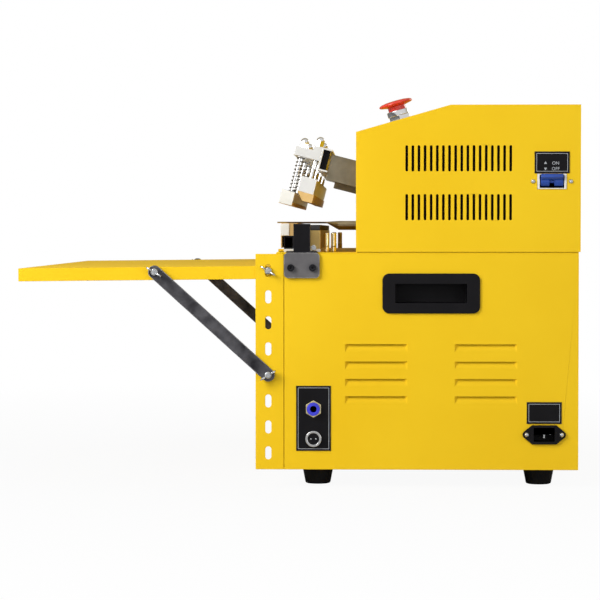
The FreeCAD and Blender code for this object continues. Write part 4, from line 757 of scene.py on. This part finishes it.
@dataclass
class Nozzles:
    """Flattened vacuum nozzles, their mouths drawn out over the front rail."""

    mouth: float = 4.0
    drawn: float = 8.0
    round_mm: float = 0.2

    def build(self) -> None:
        """Draw the mouths out and dress the pair."""
        piece = merged_copy("vacuum_nozzles", "vacuum_nozzles_drawn")
        front = min(vert.co.y for vert in piece.data.vertices)
        pick(piece, "VERT", lambda vert: vert.co.y < front + self.mouth * MM)
        bpy.ops.transform.translate(value=(0, -self.drawn * MM, 0))
        leave()
        dress_node(round_off(piece, self.round_mm), "vacuum_nozzles")


@dataclass
class ClampSprings:
    """Four wound springs between the carrier's washers and the clamp bar."""

    wire: float = 1.0
    radius: float = 4.1
    top: float = -2.5
    bottom: float = -43.2
    reach: float = -118.5
    turns: int = 9
    steps: int = 18
    travel: float = 11.0
    wire_sides: int = 10
    end_sides: int = 24
    weld: float = 0.01
    places: tuple[float, ...] = (-285.0, 285.0, -95.0, 95.0)

    def build(self) -> None:
        """Wind, place and dress the springs."""
        piece = join("clamp_springs_wound",
                     repeated(self.wind(), [on_jaw(x, self.reach, self.bottom) for x in self.places]))
        activate(piece)
        bpy.ops.object.shade_smooth()
        dress_node(piece, "clamp_springs")
        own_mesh(piece)

    def wind(self) -> Piece:
        """Wind one spring that stands on the XY plane.

        Returns:
            The spring, with a closed turn at each end.
        """
        length = self.top - self.bottom
        half = self.wire / 2
        bpy.ops.mesh.primitive_circle_add(vertices=self.wire_sides, radius=half * MM,
                                          location=(self.radius * MM, 0, half * MM),
                                          rotation=(math.pi / 2, 0, 0))
        coil = bake_place(bpy.context.object)
        modify(coil, "SCREW", screw_offset=(length - self.wire) / self.turns * MM, iterations=self.turns,
               steps=self.steps, render_steps=self.steps)
        pick(coil, "VERT")
        bpy.ops.mesh.remove_doubles(threshold=self.weld * MM)
        bpy.ops.mesh.fill_holes(sides=0)
        face_out()
        rings = []
        for height in (half, length - half):
            bpy.ops.mesh.primitive_torus_add(major_radius=self.radius * MM, minor_radius=half * MM,
                                             major_segments=self.end_sides, minor_segments=self.wire_sides,
                                             location=(0, 0, height * MM))
            rings.append(bake_place(bpy.context.object))
        return join("coil", [coil] + rings)


@dataclass
class ReleaseCloth:
    """Coated glass cloth stretched over the seal bar's nose and the heating band."""

    length: float = 620.0
    front: float = -103.5
    rear: float = -92.5
    top: float = -41.0
    bottom: float = -50.5
    corner: float = 1.0
    bends: int = 4
    thick: float = 0.3
    slack: float = 0.05

    def build(self) -> None:
        """Fold and dress the cloth."""
        path = self.path()
        half = self.length / 2
        bpy.ops.mesh.primitive_plane_add(size=2 * half * MM)
        piece = bpy.context.object
        piece.name = "release_cloth_stretched"
        pick(piece, "EDGE", lambda edge: all(vert.co.y > 0 for vert in edge.verts))
        bpy.ops.mesh.select_all(action="INVERT")
        bpy.ops.mesh.delete(type="EDGE")
        bpy.ops.mesh.select_all(action="SELECT")
        bpy.ops.transform.translate(value=(0, path[0][0] * MM - half * MM, path[0][1] * MM))
        for last, point in zip(path, path[1:]):
            extrude(point[1] - last[1], point[0] - last[0])
        face_out()
        put(piece, on_jaw(0, 0, 0))
        modify(piece, "SOLIDIFY", thickness=self.thick * MM, offset=0.0)
        smooth(piece, SOFT_ANGLE)
        dress_node(piece, "release_cloth")

    def path(self) -> list[Span]:
        """Section of the fold, down the front, under the nose and up the rear.

        Returns:
            (y, z) points in the jaw's own frame.
        """
        gap = self.thick / 2 + self.slack
        front, rear, low = self.front - gap, self.rear + gap, self.bottom - gap
        turns = [math.pi / 2 / self.bends * turn for turn in range(self.bends + 1)]
        rises = [(self.corner * (1 - math.cos(turn)), self.corner * (1 - math.sin(turn))) for turn in turns]
        down = [(front + near, low + far) for near, far in rises]
        up = [(rear - far, low + near) for near, far in rises]
        return [(front, self.top), *down, *up, (rear, self.top)]


@dataclass
class EndCaps:
    """Caps on the clamp bars, plugs on the crossbar's and the seal bar's ends, and the rail's end screws.

    Each section is the lowest and the highest (y, z), in the closed jaw's frame for the upper pieces.
    """

    bar_end: float = 310.0
    cap_ends: Span = (308.0, 311.0)
    cap_round: float = 0.5
    upper_cap: Section = ((-130.0, -59.6), (-114.2, -43.8))
    lower_cap: Section = ((-21.4, 289.4), (-11.4, 303.4))
    plug: Section = ((-93.8, -9.8), (-86.4, 12.8))
    plug_ends: Span = (294.0, 303.0)
    plug_round: float = 0.4
    nose: Section = ((-112.2, -50.9), (-92.4, -41.0))
    nose_ends: Span = (309.0, 310.6)
    nose_near: float = 1.0
    nose_slant: float = 8.4
    screw_at: Span = (17.2, 275.2)
    screw: Rings = ((3.4, -0.4), (3.4, 1.6), (2.9, 2.1), (1.6, 2.1), (1.5, 0.9))
    screw_sides: int = 32

    def build(self) -> None:
        """Model and dress the caps, the plugs and the screws."""
        jaw = on_jaw(0, 0, 0)
        upper = both("cap", self.upper_cap, self.cap_ends, self.cap_round)
        dress(put(join("clamp_bar_caps", upper), jaw), "clamp", WHITE_ABS)
        plugs = both("plug", self.plug, self.plug_ends, self.plug_round)
        dress(put(join("crossbar_plugs", plugs), jaw), "jaw", BLACK_ABS)
        noses = both("nose", self.nose, self.nose_ends)
        front, foot = self.nose[0]
        for nose in noses:
            pick(nose, "VERT", lambda vert: vert.co.y < (front + self.nose_near) * MM
                 and vert.co.z < (foot + self.nose_near) * MM)
            bpy.ops.transform.translate(value=(0, self.nose_slant * MM, 0))
            leave()
        dress(put(join("seal_nose_plugs", noses), jaw), "jaw", PAD_RUBBER)
        lower = both("cap", self.lower_cap, self.cap_ends, self.cap_round)
        dress(join("lower_clamp_caps", lower), "cabinet", WHITE_ABS)
        y, z = self.screw_at
        screws = [put(turned("screw", self.screw, self.screw_sides), on_right(y, z, self.bar_end))
                  for _ in range(2)]
        put(screws[1], Matrix.Rotation(math.pi, 4, "Z") @ Matrix.Translation((0, -2 * y * MM, 0)))
        dress(join("rail_end_screws", screws), "cabinet", ZINC)


@dataclass
class EmergencyStop:
    """Red mushroom head of the emergency stop and its sleeve."""

    in_from_side: float = 60.0
    along: float = 54.0
    sides: int = 64
    sharp: float = math.radians(50)
    rings: Rings = ((6.0, -21.7), (6.0, 5.3), (10.5, 5.35), (10.5, 17.6), (12.5, 18.2), (17.5, 19.2),
                    (19.3, 19.9), (20.0, 20.7), (19.9, 21.5), (19.0, 22.5), (16.5, 23.5), (12.0, 24.25),
                    (6.5, 24.6), (1.0, 24.7))
    sleeve: Rings = ((10.9, 6.8), (12.7, 6.8), (13.0, 7.1), (13.0, 12.2), (12.6, 12.8), (10.9, 12.8))

    def build(self) -> None:
        """Turn, place and dress the head and the bright sleeve under it."""
        place = on_slope(SIDE - self.in_from_side, self.along)
        piece = put(turned("estop_head_turned", self.rings, self.sides), place)
        smooth(piece, self.sharp)
        dress_node(piece, "estop_head")
        sleeve = put(ring("estop_sleeve", self.sleeve), place)
        dress(round_off(sleeve, 0.0), "cabinet", CHROME)


@dataclass
class GasCollet:
    """Blue collet of the push-in gas fitting."""

    y: float = 17.55
    z: float = 90.1
    rings: Rings = ((3.8, -4.2), (5.5, -4.2), (5.5, 6.6), (7.2, 6.6), (7.6, 7.0), (7.6, 8.4), (7.1, 9.0),
                    (4.3, 9.1), (3.8, 8.6))

    def build(self) -> None:
        """Turn, place and dress the collet."""
        piece = put(ring("gas_collet_turned", self.rings), on_right(self.y, self.z))
        dress_node(round_off(piece, 0.0), "gas_fitting_collet")


@dataclass
class Feet:
    """Moulded rubber feet with a rounded tread and a screw pocket."""

    places: tuple[Span, ...] = ((295.0, 21.75), (-295.0, 21.75), (295.0, 279.2), (-295.0, 279.2))
    sides: int = 48
    rings: Rings = ((5.0, 6.0), (5.0, 0.4), (6.0, 0.0), (12.8, 0.0), (14.2, 0.6), (14.8, 1.8), (17.9, 18.2),
                    (18.2, 19.2), (18.0, 20.0))

    def build(self) -> None:
        """Mould one foot, copy it and dress the set."""
        foot = turned("foot", self.rings, self.sides)
        places = [Matrix.Translation((x * MM, y * MM, 0)) for x, y in self.places]
        piece = join("rubber_feet_moulded", repeated(foot, places))
        smooth(piece, SOFT_ANGLE)
        dress_node(piece, "rubber_feet")


@dataclass
class PlatePrint:
    """Thin border line on each bare plate, and the switch positions on the breaker's."""

    line: float = 0.5
    inset: float = 2.1
    proud: float = 0.06
    letter: float = 5.2
    arrow_radius: float = 2.0
    # Words and arrows from the middle of the breaker's plate
    word_y: float = 4.0
    word_feet: Span = (-2.6, -9.0)
    arrow_y: float = -7.6
    arrow_heights: Span = (-0.8, -7.2)
    # Middle, width and height of each plate, the breaker's last
    plates: tuple[tuple[float, float, float, float], ...] = (
        (17.55, 79.1, 40.0, 75.0), (282.55, 85.8, 40.0, 25.0), (290.75, 373.3, 40.0, 25.0))

    def build(self) -> None:
        """Print the lines and the words."""
        prints = [self.border(on_right(y, z, PLATE_FACE), width, height)
                  for y, z, width, height in self.plates]
        y, z, _, _ = self.plates[-1]
        prints += [self.word(text, self.upright(y + self.word_y, z + foot, 1))
                   for text, foot in zip(("ON", "OFF"), self.word_feet)]
        prints += [self.arrow(self.upright(y + self.arrow_y, z + up, way))
                   for up, way in zip(self.arrow_heights, (1, -1))]
        dress(join("plate_print", prints), "cabinet", PRINT_GREY)

    def border(self, place: Matrix, width: float, height: float) -> Piece:
        """Line round one plate.

        Args:
            place: middle of the plate.
            width: the plate's width.
            height: the plate's height.

        Returns:
            The raised line.
        """
        bpy.ops.mesh.primitive_plane_add(size=1)
        piece = bpy.context.object
        piece.name = "border"
        piece.scale = ((height - 2 * self.inset) * MM, (width - 2 * self.inset) * MM, 1)
        bake_place(piece)
        pick(piece, "FACE")
        bpy.ops.mesh.inset(thickness=self.line * MM)
        bpy.ops.mesh.delete(type="FACE")
        bpy.ops.mesh.select_all(action="SELECT")
        extrude(self.proud)
        face_out()
        return put(piece, place)

    def word(self, text: str, place: Matrix) -> Piece:
        """Raised word on the breaker's plate.

        Args:
            text: the word.
            place: middle of its foot.

        Returns:
            The word as a mesh.
        """
        bpy.ops.object.text_add()
        letters = bpy.context.object
        letters.data.body = text
        letters.data.size = self.letter * MM
        letters.data.extrude = self.proud * MM
        letters.data.align_x = "CENTER"
        bpy.ops.object.convert(target="MESH")
        return put(bpy.context.object, place)

    def arrow(self, place: Matrix) -> Piece:
        """Small arrow that points up or down.

        Args:
            place: its middle, turned the way that it points.

        Returns:
            The arrow.
        """
        bpy.ops.mesh.primitive_circle_add(vertices=3, radius=self.arrow_radius * MM, fill_type="NGON")
        head = bake_place(bpy.context.object)
        pick(head, "FACE")
        extrude(self.proud)
        face_out()
        return put(head, place)

    def upright(self, y: float, z: float, way: int) -> Matrix:
        """Matrix that stands print drawn on the XY plane on the breaker's plate.

        Args:
            y: place along the side.
            z: height on the side.
            way: 1 for upright, -1 for upside down.

        Returns:
            The matrix.
        """
        turn = Matrix.Rotation(math.pi / 2 * (1 - way), 4, "X")
        stand = Matrix.Rotation(math.pi / 2, 4, "Z") @ Matrix.Rotation(math.pi / 2, 4, "X")
        return Matrix.Translation(Vector((PLATE_FACE, y, z)) * MM) @ turn @ stand


@dataclass
class Toggle:
    """Two linked breaker levers with a bar across them."""

    axle: Corner = (335.0, 290.75, 351.5)
    tilt: float = math.radians(35)
    half: float = 12.9
    # Low and high corner of the bar across the levers' ends, from the axle
    bar_low: Corner = (6.0, -12.9, -2.4)
    bar_high: Corner = (12.0, 12.9, 2.5)
    bar_round: float = 0.7
    hub: Rings = ((3.2, -12.9), (3.9, -12.3), (3.9, 12.3), (3.2, 12.9))
    hub_sides: int = 32
    pin: Rings = ((1.9, -14.8), (1.9, 14.8))
    pin_sides: int = 24
    leg: float = 10.2
    skirt_radius: float = 6.4
    skirt_edge: float = 0.5
    skirt_sides: int = 48
    skirt_waist: float = 0.55
    skirt_sector: Span = (math.radians(-97), math.radians(-2))
    divider_low: Corner = (331.0, 288.4, 344.2)
    divider_high: Corner = (337.5, 293.1, 347.3)
    divider_round: float = 0.4

    def build(self) -> None:
        """Model, tilt and dress the levers and the white divider between them."""
        bar = block("bar", self.bar_low, self.bar_high, self.bar_round)
        legs = [self.skirt(low) for low in (-self.half, self.half - self.leg)]
        hub = turned("hub", self.hub, self.hub_sides)
        pin = turned("pin", self.pin, self.pin_sides)
        for round_piece in (hub, pin):
            put(round_piece, Matrix.Rotation(math.pi / 2, 4, "X"))
        piece = join("breaker_toggle_moulded", [bar] + legs + [hub, pin])
        put(piece, Matrix.Translation(Vector(self.axle) * MM) @ Matrix.Rotation(-self.tilt, 4, "Y"))
        smooth(piece, SMOOTH_ANGLE)
        dress_node(piece, "breaker_toggle")
        divider = block("breaker_divider", self.divider_low, self.divider_high, self.divider_round)
        dress(divider, "cabinet", WHITE_ABS)

    def skirt(self, low: float) -> Piece:
        """One lever's round skirt, which fills the mouth under its bar.

        Args:
            low: its lower end along the axle.

        Returns:
            The skirt, with its axis along Y.
        """
        high, full = low + self.leg, self.skirt_radius
        edge = self.skirt_edge
        rings = ((full - edge, low), (full, low + edge), (full, high - edge), (full - edge, high))
        piece = turned("leg", rings, self.skirt_sides)
        first, last = self.skirt_sector
        pick(piece, "VERT", lambda vert: not first <= math.atan2(vert.co.y, vert.co.x) <= last)
        bpy.ops.transform.resize(value=(self.skirt_waist, self.skirt_waist, 1), center_override=(0, 0, 0))
        leave()
        return put(piece, Matrix.Rotation(math.pi / 2, 4, "X"))


@dataclass
class Keypad:
    """Bare keys and a display window on the control panel."""

    window_low: Corner = (-110, 38, 0.95)
    window_high: Corner = (-38, 76, 2.0)
    window_round: float = 0.6
    columns: int = 4
    rows: int = 2
    # Low corner of the first key, its size and the step to the next one
    first: Corner = (-14.0, 36.0, 0.95)
    key: Corner = (22.0, 16.0, 1.65)
    step: Span = (30.0, 24.0)
    key_round: float = 0.8

    def build(self) -> None:
        """Model and dress the window and the keys."""
        window = block("display_window", self.window_low, self.window_high, self.window_round)
        dress(put(window, on_slope(0, 0)), "cabinet", DARK_GLASS)
        greys = []
        for row in range(self.rows):
            for column in range(self.columns):
                low = Vector(self.first) + Vector((column * self.step[0], row * self.step[1], 0))
                greys.append(block("key", low, low + Vector(self.key), self.key_round))
        green = put(greys.pop(), on_slope(0, 0))
        green.name = "start_key"
        dress(green, "cabinet", KEY_GREEN)
        keys = put(join("grey_keys", greys), on_slope(0, 0))
        dress(keys, "cabinet", KEY_GREY)


@dataclass
class SlotShadeSheets:
    """Black sheets behind the slots of the upper cover, on both sides, that paint the shade inside the cover.
    """

    section: Section = ((120.0, 302.0), (248.0, 398.0))
    ends: Span = (337.2, 338.2)

    def build(self) -> None:
        """Lay and dress the sheets of painted shade."""
        # Painted shade: black sheets where the inside of the cover lies in shade
        dress(join("slot_shade_sheets", both("shade_sheet", self.section, self.ends)), "cabinet", SHADE_BLACK)


@dataclass
class Studio:
    """Floor, light and camera, in metres."""

    camera_at: Corner = (3.06, 0.0824, 0.297)
    looks_at: Corner = (0.34, 0.002, 0.2154)
    lens: float = 142.0
    sensor: float = 36.0
    # Name, place, watts and edge length of each lamp, and the point that they face
    lamps: tuple[tuple[str, Corner, float, float], ...] = (
        ("key", (1.35, -1.1, 1.1), 29.0, 1.0), ("fill", (2.4, 1.6, 0.25), 11.0, 1.2),
        ("back", (-1.9, 2.0, 0.8), 40.0, 1.8))
    lamps_face: Corner = (0.0, 0.0, 0.22)
    # Light all round, and in reflections the tone behind the machine and where it turns to white
    ambient: float = 0.44
    room_tone: Colour = (0.42, 0.33, 0.15, 1.0)
    room_range: Span = (-0.7, 0.35)
    floor_size: float = 14.0
    floor_drop: float = 0.0004
    floor_tone: Colour = (0.5, 0.5, 0.5, 1.0)
    # Distances between which the floor turns to white, and how white it is before that
    fade_range: Span = (0.35, 1.5)
    near_white: float = 0.94

    def build(self) -> None:
        """Set the stage, with the camera where the photographer's was."""
        self.world()
        self.floor()
        for name, place, power, size in self.lamps:
            lamp = bpy.data.lights.new(name, "AREA")
            lamp.energy = power
            lamp.size = size
            self.stand(lamp, place, self.lamps_face)
        camera = bpy.data.cameras.new("camera")
        camera.sensor_width = self.sensor
        camera.lens = self.lens
        bpy.context.scene.camera = self.stand(camera, self.camera_at, self.looks_at)

    def world(self) -> None:
        """White to the eye, a plain grey light, and in reflections a room that is dim and warm behind it."""
        world = bpy.data.worlds.new("studio")
        bpy.context.scene.world = world
        world.use_nodes = True
        tree = world.node_tree
        tree.nodes.clear()
        rays = add(tree, "LightPath")
        seen = add(tree, "Math", {"operation": "MAXIMUM"}, s0=rays.outputs["Is Camera Ray"],
                   s1=rays.outputs["Is Transmission Ray"])
        way = add(tree, "SeparateXYZ", Vector=add(tree, "TexCoord").outputs["Generated"])
        depth = between(tree, way.outputs["X"], self.room_range)
        tone = add(tree, "Mix", {"data_type": "RGBA"}, s0=depth, s6=self.room_tone, s7=WHITE)
        light = add(tree, "Background", Color=WHITE, Strength=self.ambient)
        room = add(tree, "Background", Color=tone.outputs[2], Strength=1.0)
        white = add(tree, "Background", Color=WHITE, Strength=1.0)
        mixed = add(tree, "MixShader", s0=rays.outputs["Is Glossy Ray"], s1=light.outputs[0],
                    s2=room.outputs[0])
        mixed = add(tree, "MixShader", s0=seen.outputs[0], s1=mixed.outputs[0], s2=white.outputs[0])
        add(tree, "OutputWorld", Surface=mixed.outputs[0])

    def floor(self) -> None:
        """Plain pale floor that keeps a soft shadow."""
        bpy.ops.mesh.primitive_plane_add(size=self.floor_size, location=(0, 0, -self.floor_drop))
        floor = bake_place(bpy.context.object)
        floor.name = "floor"
        material = bpy.data.materials.new("pale_floor")
        material.use_nodes = True
        tree = material.node_tree
        tree.nodes.clear()
        rays = add(tree, "LightPath")
        pale = add(tree, "BsdfDiffuse", Color=self.floor_tone)
        white = add(tree, "Emission", Color=WHITE, Strength=1.0)
        where = add(tree, "TexCoord").outputs["Object"]
        away = add(tree, "VectorMath", {"operation": "LENGTH"}, s0=where)
        # The floor turns into the white background, so that no edge shows
        fade = add(tree, "MapRange", Value=away.outputs["Value"], From_Min=self.fade_range[0],
                   From_Max=self.fade_range[1], To_Min=self.near_white, To_Max=1.0)
        share = add(tree, "Math", {"operation": "MULTIPLY"}, s0=rays.outputs["Is Camera Ray"],
                    s1=fade.outputs[0])
        mixed = add(tree, "MixShader", s0=share.outputs[0], s1=pale.outputs[0], s2=white.outputs[0])
        add(tree, "OutputMaterial", Surface=mixed.outputs[0])
        floor.data.materials.append(material)

    def stand(self, data: bpy.types.ID, place: Corner, target: Corner) -> Piece:
        """Stand a lamp or the camera in its place and turn it to what it faces.

        Args:
            data: the lamp or the camera.
            place: where it stands.
            target: the point that it faces.

        Returns:
            The new object.
        """
        thing = bpy.data.objects.new(data.name, data)
        bpy.context.scene.collection.objects.link(thing)
        thing.location = place
        thing.rotation_euler = (Vector(target) - Vector(place)).to_track_quat("-Z", "Y").to_euler()
        return thing


def paint_nodes() -> None:
    """Give every CAD node its finish, shown or not."""
    for name, node in frame["nodes"].items():
        material = finish_of(name).material()
        if not node.data.materials:
            node.data.materials.append(material)
        for place in range(len(node.material_slots)):
            node.material_slots[place].material = material


def main() -> None:
    """Dress the machine and set the stage."""
    logging.basicConfig(level=logging.INFO, format="%(name)s: %(message)s")
    bpy.context.scene.view_settings.view_transform = "Standard"
    Studio().build()
    paint_nodes()
    for part in (Hardware(), Nozzles(), ClampSprings(), ReleaseCloth(), EndCaps(), EmergencyStop(),
                 GasCollet(), Feet(), PlatePrint(), Toggle(), Keypad(), SlotShadeSheets()):
        part.build()
    clear_selection()


if __name__ == "__main__":
    main()
